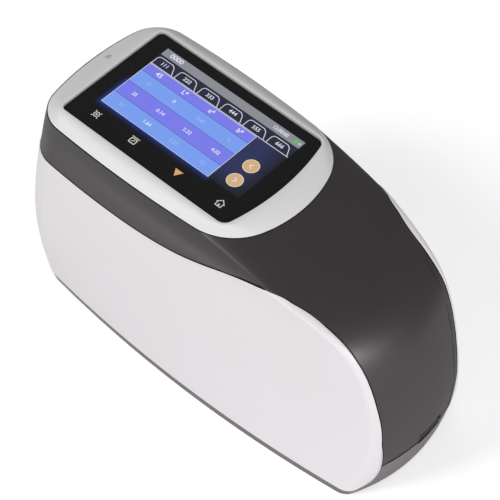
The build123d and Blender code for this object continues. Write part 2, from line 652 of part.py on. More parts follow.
# light pipe: a vertical lens in the bezel and a bar back to the lamp board
light_pipe = rod(DIMPLE_X, DIMPLE_Y, RIM_Z + RUN_FIT, FAR, PIPE_RADIUS) & Solid.make_loft(wires)
dish_z = light_pipe.bounding_box().max.Z + PIPE_RADIUS
light_pipe -= Pos(DIMPLE_X, DIMPLE_Y, dish_z) * Sphere(PIPE_RADIUS * DISH)
bar_end = channel_x - LAMP_BOARD[2]
bar_y = (DIMPLE_Y - PIPE_RADIUS, DIMPLE_Y + PIPE_RADIUS)
light_pipe += box(DIMPLE_X, bar_end, *bar_y, RIM_Z + RUN_FIT, channel_top - RUN_FIT)
save("light_pipe", light_pipe)
board_x0 = channel_x - LAMP_BOARD[0]
half = LAMP_BOARD[1] / 2
lamp_board = box(board_x0, channel_x, DIMPLE_Y - half, DIMPLE_Y + half, RIM_Z - LAMP_BOARD[2], RIM_Z)
chip_y = (DIMPLE_Y - CHIP_HALF, DIMPLE_Y + CHIP_HALF)
lamp_board += box(bar_end + RUN_FIT, channel_x - RUN_FIT, *chip_y, RIM_Z, RIM_Z + LAMP_BOARD[2])
save("status_lamp_board", lamp_board)

glass_z0 = GLASS_TOP_Z - GLASS_THICK
cover_glass = upright(glass, glass_z0, GLASS_TOP_Z)
top_edges = cover_glass.edges().group_by(Axis.Z)[-1]
cover_glass = chamfer(top_edges, GLASS_CHAMFER)
save("cover_glass", cover_glass)
gasket = upright(glass, gasket_z, glass_z0)
gasket -= upright(glass, gasket_z - OVER, glass_z0 + OVER, GASKET_WIDTH)
save("glass_gasket", gasket)
lcd_z0 = glass_z0 - LCD_THICK
tray_z0 = lcd_z0 - TRAY_THICK
save("lcd_panel", box(*display, lcd_z0, glass_z0))
save("backlight_tray", box(*display, tray_z0, lcd_z0))

# ---------------------------------------------------------------- chassis and main board
chassis_z0 = CHASSIS_TOP_Z - CHASSIS_THICK
chassis = box(*CHASSIS_X, -CHASSIS_HALF_WIDTH, CHASSIS_HALF_WIDTH, chassis_z0, CHASSIS_TOP_Z)
corners = chassis.edges().filter_by(Axis.Z)
chassis = fillet(corners, CHASSIS_BOSS * 2)
tab_x0 = BUTTON_X - CHASSIS_TAB[0] / 2
tab_x1 = BUTTON_X + CHASSIS_TAB[0] / 2
tab_z0 = CHASSIS_TOP_Z - CHASSIS_TAB[2]
tab_back_y = tab_face_y - CHASSIS_TAB[1]
chassis += box(tab_x0, tab_x1, 0, tab_face_y, chassis_z0, CHASSIS_TOP_Z)
chassis += box(tab_x0, tab_x1, tab_back_y, tab_face_y, tab_z0, CHASSIS_TOP_Z)
board_top_z = chassis_z0 - BOARD_GAP
board_posts = []
for bx in BOARD_POSTS_X:
    board_posts += mirrored([(bx, BOARD_POSTS_Y)])
for bx, by in board_posts:
    chassis += rod(bx, by, board_top_z, chassis_z0, CHASSIS_BOSS)
for bx, by in board_posts + posts:
    chassis -= rod(bx, by, board_top_z - OVER, CHASSIS_TOP_Z + OVER, SCREW_R + RUN_FIT)
flex_y = FLEX_WIDTH / 2
slot_x = (FLEX_X - FLEX_SLOT / 2, FLEX_X + FLEX_SLOT / 2)
slot_y = (-flex_y - OVER, flex_y + OVER)
chassis -= box(*slot_x, *slot_y, chassis_z0 - OVER, CHASSIS_TOP_Z + OVER)
save("chassis", chassis)

board_z0 = board_top_z - BOARD_THICK
board_x0 = CHASSIS_X[0] + BOARD_INSET
board_x1 = CHASSIS_X[1] - BOARD_INSET
board_half = CHASSIS_HALF_WIDTH - BOARD_INSET
main_board = box(board_x0, board_x1, -board_half, board_half, board_z0, board_top_z)
for bx, by in board_posts:
    main_board -= rod(bx, by, board_z0 - OVER, board_top_z + OVER, SCREW_R + RUN_FIT)
save("main_board", main_board)


def screw(x, y, seat_z, tip_z):
    """Cap screw with its head resting on seat_z and its tip at tip_z."""
    away = math.copysign(SCREW_HEAD_H, seat_z - tip_z)
    body = rod(x, y, *sorted((seat_z, tip_z)), SCREW_R)
    body += rod(x, y, *sorted((seat_z, seat_z + away)), SCREW_HEAD_R)
    socket_z = min(seat_z + away, seat_z + away / 2)
    hexagon = Pos(x, y, socket_z) * RegularPolygon(SCREW_R, 6)
    return body - extrude(hexagon, amount=SCREW_HEAD_H / 2)


def group(items):
    solids = []
    for item in items:
        solids += item.solids()
    return Compound(children=solids)


tips = RIM_Z - RUN_FIT
save("chassis_screws", group([screw(x, y, chassis_z0, tips) for x, y in posts]))
tips = CHASSIS_TOP_Z - RUN_FIT
save("board_screws", group([screw(x, y, board_z0, tips) for x, y in board_posts]))

chips = []
for cx, cy, wide, deep, tall in CHIPS:
    chips.append(block(cx, cy, wide, deep, board_z0 - tall, board_z0))
save("board_chips", group(chips))
buzzer = rod(*BUZZER_AT, board_z0 - BUZZER_H, board_z0, BUZZER_R)
buzzer -= rod(*BUZZER_AT, board_z0 - BUZZER_H - OVER, board_z0 - BUZZER_H / 2, BUZZER_PORT_R)
save("buzzer", buzzer)

web = FLEX_THICK / 2
flex = box(FLEX_X - web, FLEX_X + web, -flex_y, flex_y, board_top_z, tray_z0)
flex += box(FLEX_X, FLEX_X + FLEX_FOOT, -flex_y, flex_y, board_top_z, board_top_z + FLEX_THICK)
flex += box(FLEX_X - FLEX_FOOT, FLEX_X, -flex_y, flex_y, tray_z0 - FLEX_THICK, tray_z0)
save("display_flex", flex)

# ---------------------------------------------------------------- measuring button
cap = oval_prism(BUTTON_LENGTH, BUTTON_HEIGHT, button_inner_y, button_y + BUTTON_STAND_OFF)
cap_edges = cap.edges().group_by(Axis.Y)[-1]
cap = fillet(cap_edges, BUTTON_STAND_OFF * BUTTON_ROUND)
flange_y1 = button_inner_y + BUTTON_FLANGE_THICK
cap += oval_prism(BUTTON_LENGTH, BUTTON_HEIGHT, button_inner_y, flange_y1, BUTTON_FLANGE)
save("measure_button", cap)


def rod_y(x, z, y0, y1, r):
    return Pos(x, (y0 + y1) / 2, z) * (Rot(90, 0, 0) * Cylinder(r, y1 - y0))


plunger_y0 = button_inner_y - PLUNGER_LENGTH
save("switch_plunger", rod_y(BUTTON_X, BUTTON_Z, plunger_y0, button_inner_y, PLUNGER_R))
tact = Pos(BUTTON_X, (tact_y0 + tact_y1) / 2, BUTTON_Z) * Box(*TACT)
tact -= rod_y(BUTTON_X, BUTTON_Z, tact_y1 - TACT_SOCKET, tact_y1 + OVER, PLUNGER_R + RUN_FIT)
save("tact_switch", tact)
button_board = Box(TACT_BOARD_SIZE[0], TACT_BOARD_THICK, TACT_BOARD_SIZE[1])
save("button_board", Pos(BUTTON_X, (tab_face_y + tact_y0) / 2, BUTTON_Z) * button_board)

# ---------------------------------------------------------------- measuring opening and head
ring_low_z = BASE_Z - RING_DROP
ring = rod(APERTURE_X, 0, ring_low_z, BASE_Z + RING_SEAT, RING_FLANGE_R)
ring = chamfer(ring.edges().group_by(Axis.Z)[0], RING_DROP)
ring += rod(APERTURE_X, 0, BASE_Z + RING_SEAT, FLOOR_Z, RING_NECK_R)
ring -= rod(APERTURE_X, 0, -FAR, FAR, APERTURE_R)
save("aperture_ring", ring)
save("aperture_window", rod(APERTURE_X, 0, FLOOR_Z, FLOOR_Z + WINDOW_THICK, WINDOW_R))


def spoke(angle, r0, r1, radius):
    """Cylinder along a ray in the X-Z plane from the centre of the opening."""
    bar = Pos(0, 0, (r0 + r1) / 2) * Cylinder(radius, r1 - r0)
    return Pos(APERTURE_X, 0, FLOOR_Z) * (Rot(0, angle, 0) * bar)


def spoke_box(angle, r0, size):
    slab = Pos(0, 0, r0 + size[2] / 2) * Box(*size)
    return Pos(APERTURE_X, 0, FLOOR_Z) * (Rot(0, angle, 0) * slab)


head = Pos(APERTURE_X, 0, FLOOR_Z) * (Rot(90, 0, 0) * Cylinder(HEAD_R, 2 * HEAD_HALF_WIDTH))
head &= box(-FAR, FAR, -FAR, FAR, FLOOR_Z, FAR)
flange_top = FLOOR_Z + FLANGE_THICK
flange_width = 2 * (HEAD_HALF_WIDTH + FLANGE_REACH)
head += block(APERTURE_X, 0, FLANGE_LENGTH, flange_width, FLOOR_Z, flange_top)
head -= Pos(APERTURE_X, 0, FLOOR_Z) * Sphere(HEAD_CAVITY_R)
angles = LAMP_ANGLES + RECEIVER_ANGLES
for angle in angles:
    head -= spoke(angle, HEAD_CAVITY_R - OVER, TUBE_IN, LIGHT_PATH_R)
    head -= spoke(angle, TUBE_IN, TUBE_OUT + OVER, TUBE_R + RUN_FIT)
head -= spoke(0, HEAD_CAVITY_R - OVER, CAMERA_IN, LIGHT_PATH_R)
head -= spoke(0, CAMERA_IN, CAMERA_OUT + OVER, CAMERA_R + RUN_FIT)
for sx, sy in flange_screws:
    head -= rod(sx, sy, FLOOR_Z - OVER, flange_top + OVER, SCREW_R + RUN_FIT)
save("measuring_head", head)


def tube(angle):
    bore = spoke(angle, TUBE_IN - OVER, TUBE_OUT + OVER, TUBE_R - TUBE_WALL)
    return spoke(angle, TUBE_IN, TUBE_OUT, TUBE_R) - bore


save("lamp_tubes", group([tube(a) for a in LAMP_ANGLES]))
save("receiver_tubes", group([tube(a) for a in RECEIVER_ANGLES]))
lens_at = TUBE_IN + LENS_IN
lenses = [spoke(a, lens_at, lens_at + LENS_THICK, TUBE_R - TUBE_WALL) for a in angles]
save("tube_lenses", group(lenses))
lamps = []
for a in LAMP_ANGLES:
    lamp = spoke_box(a, TUBE_OUT, END_BOARD)
    lamp += spoke(a, TUBE_OUT - LAMP_CAN[1], TUBE_OUT, LAMP_CAN[0])
    lamps.append(lamp)
save("lamp_boards", group(lamps))
detectors = []
for a in RECEIVER_ANGLES:
    detector = spoke_box(a, TUBE_OUT, END_BOARD)
    detector += spoke_box(a, TUBE_OUT + END_BOARD[2], DETECTOR)
    detectors.append(detector)
save("detector_boards", group(detectors))
camera = spoke(0, CAMERA_IN, CAMERA_OUT, CAMERA_R) + spoke_box(0, CAMERA_OUT, END_BOARD)
save("view_camera", camera)
screw_tip = FLOOR_Z - FLOOR_SCREW_DEPTH + RUN_FIT
save("head_screws", group([screw(x, y, flange_top, screw_tip) for x, y in flange_screws]))

# ---------------------------------------------------------------- battery and power board


def rod_x(y, z, x0, x1, r):
    return Pos((x0 + x1) / 2, y, z) * (Rot(0, 90, 0) * Cylinder(r, x1 - x0))


cell_z = FLOOR_Z + CELL_SEAT + CELL_R
cell_x1 = CELL_X0 + CELL_LENGTH
holder = box(CELL_X0, cell_x1, -TRAY_HALF_WIDTH, TRAY_HALF_WIDTH, FLOOR_Z, FLOOR_Z + TRAY_WALL_H)
cells = []
for side in (-1, 1):
    cell_y = side * CELL_SPREAD
    holder -= rod_x(cell_y, cell_z, CELL_X0 - OVER, cell_x1 + OVER, CELL_R + RUN_FIT)
    cell = rod_x(cell_y, cell_z, CELL_X0, cell_x1 - CELL_TIP[1], CELL_R)
    cell += rod_x(cell_y, cell_z, cell_x1 - CELL_TIP[1], cell_x1, CELL_TIP[0])
    cells.append(cell)
save("battery_tray", holder)
save("battery_cells", group(cells))

plate_z = BRIDGE_TOP_Z - BRIDGE_THICK
bridge = box(*BRIDGE_X, -BRIDGE_HALF_WIDTH, BRIDGE_HALF_WIDTH, plate_z, BRIDGE_TOP_Z)
for side in (-1, 1):
    outer = side * BRIDGE_HALF_WIDTH
    inner = side * (BRIDGE_HALF_WIDTH - BRIDGE_THICK)
    bridge += box(*BRIDGE_X, *sorted((outer, inner)), FLOOR_Z, BRIDGE_TOP_Z)
    tab_end = side * (BRIDGE_HALF_WIDTH + BRIDGE_TAB)
    bridge += box(*BRIDGE_X, *sorted((inner, tab_end)), FLOOR_Z, FLOOR_Z + BRIDGE_THICK)
power_x = (BRIDGE_X[0] + BRIDGE_X[1]) / 2
post_reach = POWER_BOARD[0] / 2 - POWER_GAP
post_y = POWER_BOARD[1] / 2 - POWER_GAP
power_posts = mirrored([(power_x - post_reach, post_y), (power_x + post_reach, post_y)])
power_z = BRIDGE_TOP_Z + POWER_GAP
for px, py in power_posts:
    bridge += rod(px, py, BRIDGE_TOP_Z, power_z, POWER_POST_R)
bridge_seat = FLOOR_Z + BRIDGE_THICK
for sx, sy in bridge_screws:
    bridge -= rod(sx, sy, FLOOR_Z - OVER, bridge_seat + OVER, SCREW_R + RUN_FIT)
save("battery_bridge", bridge)
save("bridge_screws", group([screw(x, y, bridge_seat, screw_tip) for x, y in bridge_screws]))
power_top = power_z + POWER_BOARD[2]
save("power_board", block(power_x, 0, POWER_BOARD[0], POWER_BOARD[1], power_z, power_top))
power_parts = []
for cx, cy, wide, deep, tall in POWER_PARTS:
    power_parts.append(block(power_x + cx, cy, wide, deep, power_top, power_top + tall))
save("power_parts", group(power_parts))

# ---------------------------------------------------------------- port board, socket and switch
board_front = PORT_FRONT_X
board_back = PORT_FRONT_X - PORT_BOARD[0]
board_y0 = port_mid_y - PORT_BOARD[1] / 2
board_y1 = port_mid_y + PORT_BOARD[1] / 2
board_top = port_board_z + PORT_BOARD[2]
port_board = box(board_back, board_front, board_y0, board_y1, port_board_z, board_top)
port_board &= body_loft(FLOOR_Z, RIM_Z - ROOF, WALL + SWITCH_GAP, ROOF)
for px, py in post_points:
    port_board -= rod(px, py, port_board_z - OVER, board_top + OVER, SCREW_R + RUN_FIT)
save("port_board", port_board)
save("port_screws", group([screw(x, y, board_top, FLOOR_Z + OVER) for x, y in post_points]))
usb_x1 = PORT_FRONT_X + USB_OVERHANG
usb_x0 = usb_x1 - USB_SIZE[0]
usb_y0 = USB_Y - USB_SIZE[1] / 2
usb_y1 = USB_Y + USB_SIZE[1] / 2
usb_z1 = board_top + USB_SIZE[2]
usb = box(usb_x0, usb_x1, usb_y0, usb_y1, board_top, usb_z1)
usb = fillet(usb.edges().filter_by(Axis.X), USB_WALL * 2)
mouth_z = (board_top + USB_WALL, usb_z1 - USB_WALL)
usb -= box(usb_x0 + USB_WALL, FAR, usb_y0 + USB_WALL, usb_y1 - USB_WALL, *mouth_z)
tongue_z = (mouth_z[0] + mouth_z[1] - USB_TONGUE) / 2
tongue_y = (USB_Y - TONGUE_HALF, USB_Y + TONGUE_HALF)
usb += box(usb_x0, usb_x1 - OVER, *tongue_y, tongue_z, tongue_z + USB_TONGUE)
save("usb_socket", usb)
sw_x1 = PORT_FRONT_X
sw_x0 = sw_x1 - SWITCH_BODY[0]
sw_half = SWITCH_BODY[1] / 2
sw_z1 = board_top + SWITCH_BODY[2]
knob_z = board_top + SWITCH_BODY[2] / 2
window_half = (SWITCH_KNOB[0] + SWITCH_TRAVEL) / 2 + SWITCH_GAP
window_up = SWITCH_KNOB[1] / 2 + SWITCH_GAP
switch = box(sw_x0, sw_x1, SWITCH_Y - sw_half, SWITCH_Y + sw_half, board_top, sw_z1)
pocket_x = sw_x0 + SWITCH_KNOB[1]
window_y = (SWITCH_Y - window_half, SWITCH_Y + window_half)
switch -= box(pocket_x, FAR, *window_y, knob_z - window_up, knob_z + window_up)
save("slide_switch", switch)
knob_y = SWITCH_Y - SWITCH_TRAVEL / 2
knob_x0 = pocket_x + SWITCH_GAP
knob_x1 = sw_x1 + SWITCH_KNOB_REACH
knob = Box(knob_x1 - knob_x0, SWITCH_KNOB[0], SWITCH_KNOB[1])
save("power_knob", Pos((knob_x0 + knob_x1) / 2, knob_y, knob_z) * knob)

# ---------------------------------------------------------------- fasteners and feet
head_seat = BASE_Z + COUNTERBORE
boss_tip = BOSS_TOP_Z - BOSS_R - RUN_FIT
save("housing_screws", group([screw(x, y, head_seat, boss_tip) for x, y in boss_points]))
pads = []
for fx, fy in feet_points:
    pad = rod(fx, fy, FOOT_Z, BASE_Z + FOOT_SEAT, FOOT_R)
    pads.append(chamfer(pad.edges().group_by(Axis.Z)[0], FOOT_SEAT / 2))
save("foot_pads", group(pads))
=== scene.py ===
# %% [markdown]
# # A hand-held colour meter, dressed for the camera
# The solids of the instrument are already made and packed: two dark shells, two white
# side covers, a pale bezel and the works inside. This notebook gives each of them a
# finish, draws the white covers again with a smoother edge, and adds what is too thin to
# be a solid: joint lines, the print of the glass, the lit picture and the touch keys.
# The frame is loaded first, because every piece is placed by it.

import math

import bpy
from mathutils import Matrix, Vector


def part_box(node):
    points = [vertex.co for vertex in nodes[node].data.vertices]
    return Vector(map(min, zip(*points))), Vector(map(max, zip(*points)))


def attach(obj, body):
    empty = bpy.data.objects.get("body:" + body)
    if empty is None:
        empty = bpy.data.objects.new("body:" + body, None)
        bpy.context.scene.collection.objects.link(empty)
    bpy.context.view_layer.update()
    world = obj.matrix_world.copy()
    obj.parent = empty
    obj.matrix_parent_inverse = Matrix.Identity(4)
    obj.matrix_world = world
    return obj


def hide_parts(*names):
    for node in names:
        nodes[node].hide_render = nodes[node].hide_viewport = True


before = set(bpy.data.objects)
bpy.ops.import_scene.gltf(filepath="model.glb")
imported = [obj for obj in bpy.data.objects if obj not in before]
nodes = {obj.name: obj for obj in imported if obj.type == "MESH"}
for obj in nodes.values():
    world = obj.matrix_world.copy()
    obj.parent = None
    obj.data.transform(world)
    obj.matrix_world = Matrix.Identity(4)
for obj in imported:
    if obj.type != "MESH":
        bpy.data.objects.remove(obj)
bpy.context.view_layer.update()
MM = 0.001
print("nodes in the frame:", len(nodes))

# %% [markdown]
# ## Camera
# The photograph was taken with a long lens, so the long edges of the glass stay almost
# parallel. The camera's place was worked out from the corners of the screen, the glass
# and the bezel: it stands 42.8 degrees round from the front and 51.8 degrees up.
# A camera could be aimed with a tracking constraint, but its three axes are known, so
# they are written into its matrix: the picture's right, its up, and straight back.

# %% Camera
AZIMUTH = math.radians(42.786)
ELEVATION = math.radians(51.849)
CAMERA_AT = Vector((337.2, -364.2, 687.2)) * MM
LENS = 150.06
SENSOR = 36.0

back = Vector((math.sin(AZIMUTH) * math.cos(ELEVATION),
               -math.cos(AZIMUTH) * math.cos(ELEVATION),
               math.sin(ELEVATION)))
right = Vector((math.cos(AZIMUTH), math.sin(AZIMUTH), 0.0))
up = back.cross(right)
camera_data = bpy.data.cameras.new("camera")
camera_data.lens = LENS
camera_data.sensor_width = SENSOR
camera_data.clip_start = 0.05
camera = bpy.data.objects.new("camera", camera_data)
turn = Matrix((right, up, back)).transposed().to_4x4()
camera.matrix_world = Matrix.Translation(CAMERA_AT) @ turn
bpy.context.scene.collection.objects.link(camera)
bpy.context.scene.camera = camera
print("camera stands", round(CAMERA_AT.length, 3), "m from the origin")

# %% [markdown]
# ## Writing shader maths as Python
# A finish is a small network of nodes. Wiring it by hand takes many lines, so one class
# wraps a socket: adding, multiplying or comparing two of them adds the Math node and
# returns its output, wrapped again. The methods differ in little but the operation, so
# a table and a loop make them.

# %% Sockets that can be added and multiplied
class Wire:
    def __init__(self, graph, socket):
        self.graph = graph
        self.socket = socket


def maths(operation, swapped=False):
    """A method that adds a Math node for one operation."""
    def method(self, other=None):
        values = [self] if other is None else [self, other]
        if swapped:
            values.reverse()
        return self.graph.node("ShaderNodeMath", {"operation": operation}, dict(enumerate(values)))

    return method


MATHS = {"__add__": "ADD", "__sub__": "SUBTRACT", "__mul__": "MULTIPLY", "__truediv__": "DIVIDE",
         "__pow__": "POWER", "__abs__": "ABSOLUTE", "above": "GREATER_THAN",
         "highest": "MAXIMUM", "lowest": "MINIMUM", "wave": "SINE"}
for method_name, operation in MATHS.items():
    setattr(Wire, method_name, maths(operation))
Wire.__radd__ = maths("ADD", swapped=True)
Wire.__rsub__ = maths("SUBTRACT", swapped=True)
print("operations on sockets:", len(MATHS) + 2)

# %% [markdown]
# The graph is the material itself. It keeps the Principled shader, makes nodes, and
# knows two things that most finishes here need: where a point is on the object, in
# millimetres, and a noise of a given grain size, also in millimetres.

# %% A material as a graph
class Finish:
    def __init__(self, name, **settings):
        self.material = bpy.data.materials.new(name)
        self.material.use_nodes = True
        self.tree = self.material.node_tree
        self.shader = self.tree.nodes["Principled BSDF"]
        self._place = None
        for key, value in settings.items():
            self.set(key.replace("_", " "), value)

    def set(self, socket, value):
        target = self.shader.inputs[socket]
        if isinstance(value, Wire):
            self.tree.links.new(value.socket, target)
        elif target.type == "RGBA":
            target.default_value = (*value[:3], 1.0)
        else:
            target.default_value = value

    def node(self, kind, settings=None, inputs=None, output=0):
        made = self.tree.nodes.new(kind)
        for key, value in (settings or {}).items():
            setattr(made, key, value)
        for key, value in (inputs or {}).items():
            if isinstance(value, Wire):
                self.tree.links.new(value.socket, made.inputs[key])
            elif isinstance(value, tuple) and made.inputs[key].type == "RGBA":
                made.inputs[key].default_value = (*value[:3], 1.0)
            else:
                made.inputs[key].default_value = value
        return Wire(self, made.outputs[output])

    def place(self):
        """Where the point is on the object, as a vector in metres."""
        if self._place is None:
            self._place = self.node("ShaderNodeTexCoord", output="Object")
        return self._place

    def axes(self):
        """The same place as three numbers in millimetres."""
        split = self.node("ShaderNodeSeparateXYZ", inputs={0: self.place()})
        sockets = split.socket.node.outputs
        return [Wire(self, sockets[i]) * 1000.0 for i in range(3)]

    def grain(self, size_mm, detail=2.0):
        """Noise between 0 and 1 whose spots are about size_mm across."""
        values = {"Vector": self.place(), "Scale": 1.0 / (size_mm * MM), "Detail": detail}
        return self.node("ShaderNodeTexNoise", inputs=values)

    def mix(self, factor, a, b):
        """Colour a where factor is 0 and colour b where it is 1."""
        inputs = {0: factor, 6: a, 7: b}
        return self.node("ShaderNodeMix", {"data_type": "RGBA"}, inputs, output=2)

    def bump(self, height, depth_mm):
        values = {"Height": height, "Distance": depth_mm * MM}
        self.set("Normal", self.node("ShaderNodeBump", inputs=values))


def srgb(r, g, b):
    """A colour as a picture editor gives it, 0 to 255, made linear for the shader."""
    out = []
    for c in (r, g, b):
        c = c / 255.0
        out.append(c / 12.92 if c <= 0.04045 else ((c + 0.055) / 1.055) ** 2.4)
    return tuple(out)


print("mid grey in linear light:", round(srgb(128, 128, 128)[0], 3))

# %% [markdown]
# ## The dark shells
# The shells are moulded in a warm, almost black grey. Their mould is spark-eroded, so
# the skin has a very fine grain, about a fifth of a millimetre, that spreads a window's
# reflection into a soft patch. The grain is a bump, and a second, larger noise moves the
# roughness a little, as handling does. The lower shell is the same plastic, given a paler
# grey to match the strip below the seam: the paler grey is a painted reflection of the
# white floor, which that strip catches.

# %% Dark moulded plastic
def dark_plastic(name, colour, roughness):
    finish = Finish(name, Specular_IOR_Level=0.7)
    cloud = finish.grain(18.0, detail=3.0)
    fine = finish.grain(0.22, detail=1.0)
    lighter = tuple(c * 1.12 for c in colour)
    finish.set("Base Color", finish.mix(cloud, colour, lighter))
    finish.set("Roughness", roughness - 0.05 + cloud * 0.08 + fine * 0.04)
    finish.bump(fine, 0.012)
    return finish.material


SHELL = dark_plastic("shell_dark", srgb(37, 32, 36), roughness=0.44)
# Painted reflection: the lower shell's paler grey stands for the white floor mirrored in it.
BASE_PAINTED_REFLECTION = dark_plastic("base_painted_reflection", srgb(102, 97, 101), roughness=0.44)
SOCKET_BLACK = dark_plastic("socket_black", srgb(24, 24, 25), roughness=0.5)
print("dark finishes:", SHELL.name, SOCKET_BLACK.name)

# %% [markdown]
# ## The white covers and the bezel
# Both are smooth, hard plastic with a satin sheen. The covers are near white, with a
# trace of warmth that comes and goes over a few centimetres. The bezel is a step greyer.
# A faint orange-peel bump keeps their reflections from being mirror-sharp.

# %% Pale satin plastic
def pale_plastic(name, colour, tint, roughness):
    finish = Finish(name, Specular_IOR_Level=0.45)
    cloud = finish.grain(45.0, detail=2.0)
    peel = finish.grain(1.6, detail=1.0)
    finish.set("Base Color", finish.mix(cloud, colour, tint))
    finish.set("Roughness", roughness + cloud * 0.06 + peel * 0.03)
    finish.bump(peel, 0.006)
    return finish.material


COVER = pale_plastic("cover_white", srgb(217, 216, 217), srgb(222, 217, 221), 0.36)
BEZEL = pale_plastic("bezel_grey", srgb(211, 211, 211), srgb(215, 214, 214), 0.42)
BUTTON = pale_plastic("button_grey", srgb(214, 214, 215), srgb(219, 218, 218), 0.28)
print("pale finishes:", COVER.name, BEZEL.name, BUTTON.name)

# %% [markdown]
# ## Glass
# The front glass is one flat sheet. It is clear, and its black frame is a print on its
# back, so the sheet itself only has to give the gloss and a trace of grey. Real
# transmission would be true to life, but the lamps could then reach the print only
# through bent light, which is slow and noisy. A nearly transparent sheet looks the same
# at this thickness. A smear of uneven roughness stands for finger marks.

# %% Clear front glass, measuring window and lenses
def clear_glass(name, tint, alpha, roughness=0.03):
    finish = Finish(name, IOR=1.5)
    smear = finish.grain(22.0, detail=4.0)
    finish.set("Base Color", finish.mix(smear, tint, tuple(c * 1.3 for c in tint)))
    finish.set("Roughness", roughness + (smear ** 3.0) * 0.08)
    finish.set("Alpha", alpha)
    finish.material.surface_render_method = "BLENDED"
    return finish.material


FRONT_GLASS = clear_glass("front_glass", (0.012, 0.012, 0.013), 0.12)
WINDOW_GLASS = clear_glass("window_glass", (0.04, 0.06, 0.065), 0.45)
LENS_GLASS = clear_glass("lens_glass", (0.05, 0.07, 0.10), 0.5)
PIPE = pale_plastic("frosted_pipe", srgb(172, 172, 174), srgb(180, 180, 182), 0.5)
print("glass:", FRONT_GLASS.name, WINDOW_GLASS.name, LENS_GLASS.name)

# %% [markdown]
# ## Metals, rubber and boards
# The ring round the measuring opening is turned, so its bump is made of fine circles
# round its own axis. Sheet parts are brushed along their length: a noise stretched a
# hundred times in one direction gives the scratches. The screws are a darker steel.

# %% Metals
APERTURE_X = (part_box("aperture_ring")[0].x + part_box("aperture_ring")[1].x) / 2 * 1000.0


def turned_metal(name, colour, roughness=0.28):
    finish = Finish(name, Metallic=1.0)
    x, y, z = finish.axes()
    radius = ((x - APERTURE_X) ** 2.0 + y * y) ** 0.5
    rings = (radius * 26.0).wave() * 0.5 + 0.5
    stain = finish.grain(4.0, detail=3.0)
    finish.set("Base Color", finish.mix(stain, colour, tuple(c * 0.8 for c in colour)))
    finish.set("Roughness", roughness + stain * 0.12)
    finish.bump(rings, 0.010)
    return finish.material


def brushed_metal(name, colour, roughness):
    finish = Finish(name, Metallic=1.0)
    stretched = finish.node("ShaderNodeMapping", inputs={"Vector": finish.place(),
                                                        "Scale": (40.0, 4000.0, 4000.0)})
    lines = finish.node("ShaderNodeTexNoise", inputs={"Vector": stretched, "Scale": 1.0})
    finish.set("Base Color", finish.mix(lines, colour, tuple(c * 0.78 for c in colour)))
    finish.set("Roughness", roughness + lines * 0.15)
    finish.bump(lines, 0.008)
    return finish.material


RING_STEEL = turned_metal("ring_steel", srgb(196, 196, 198))
SCREW_STEEL = brushed_metal("screw_steel", srgb(150, 150, 154), 0.3)
SHEET_METAL = brushed_metal("sheet_metal", srgb(205, 206, 208), 0.38)
BARREL_METAL = brushed_metal("barrel_metal", srgb(96, 96, 99), 0.4)
# The socket is steel, darkened as painted shade of the deep port it sits in.
SOCKET_METAL_PAINTED_SHADE = brushed_metal("socket_metal", srgb(70, 70, 72), 0.35)
print("metals:", RING_STEEL.name, SHEET_METAL.name)

# %% [markdown]
# Anodised aluminium is not bare metal: the black layer is dull and slightly grainy.
# Rubber scatters nearly all its light and has an open grain. A circuit board is a green
# varnish over copper tracks, so its tracks are stripes of a lighter green, bent by noise.

# %% Rubber, anodised black, boards and moulded parts
def rough_black(name, colour, roughness, grain_mm, depth_mm, gloss=0.5):
    finish = Finish(name, Specular_IOR_Level=gloss)
    grain = finish.grain(grain_mm, detail=3.0)
    finish.set("Base Color", finish.mix(grain, colour, tuple(c * 1.5 for c in colour)))
    finish.set("Roughness", roughness + grain * 0.12)
    finish.bump(grain, depth_mm)
    return finish.material


def board_green(name):
    finish = Finish(name, Specular_IOR_Level=0.5)
    x, y, z = finish.axes()
    bend = finish.grain(5.0) * 4.0
    tracks = ((x + y * 0.35 + bend) * 3.4).wave().above(0.55)
    weave = finish.grain(0.4)
    finish.set("Base Color", finish.mix(tracks, srgb(18, 74, 44), srgb(52, 122, 72)))
    finish.set("Roughness", 0.35 + weave * 0.1)
    finish.bump(tracks * 0.7 + weave * 0.3, 0.03)
    return finish.material


RUBBER = rough_black("foot_rubber", srgb(30, 30, 31), 0.78, 0.5, 0.03)
ANODISED = rough_black("anodised_black", srgb(26, 26, 28), 0.5, 0.12, 0.01)
MOULDED = rough_black("moulded_black", srgb(20, 20, 21), 0.45, 0.3, 0.015)
BOARD = board_green("board_green")
CELL = pale_plastic("cell_sleeve", srgb(38, 92, 150), srgb(44, 100, 158), 0.25)
RIBBON = pale_plastic("ribbon_amber", srgb(196, 120, 38), srgb(206, 132, 48), 0.3)
TRAY = pale_plastic("tray_white", srgb(226, 226, 224), srgb(232, 232, 230), 0.45)
print("board:", BOARD.name, "rubber:", RUBBER.name)

# %% [markdown]
# ## Dressing the solids
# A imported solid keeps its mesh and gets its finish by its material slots. One table says
# which finish belongs to which pieces, and a loop puts it on them. The side panels and
# the display's panel are left to later cells.

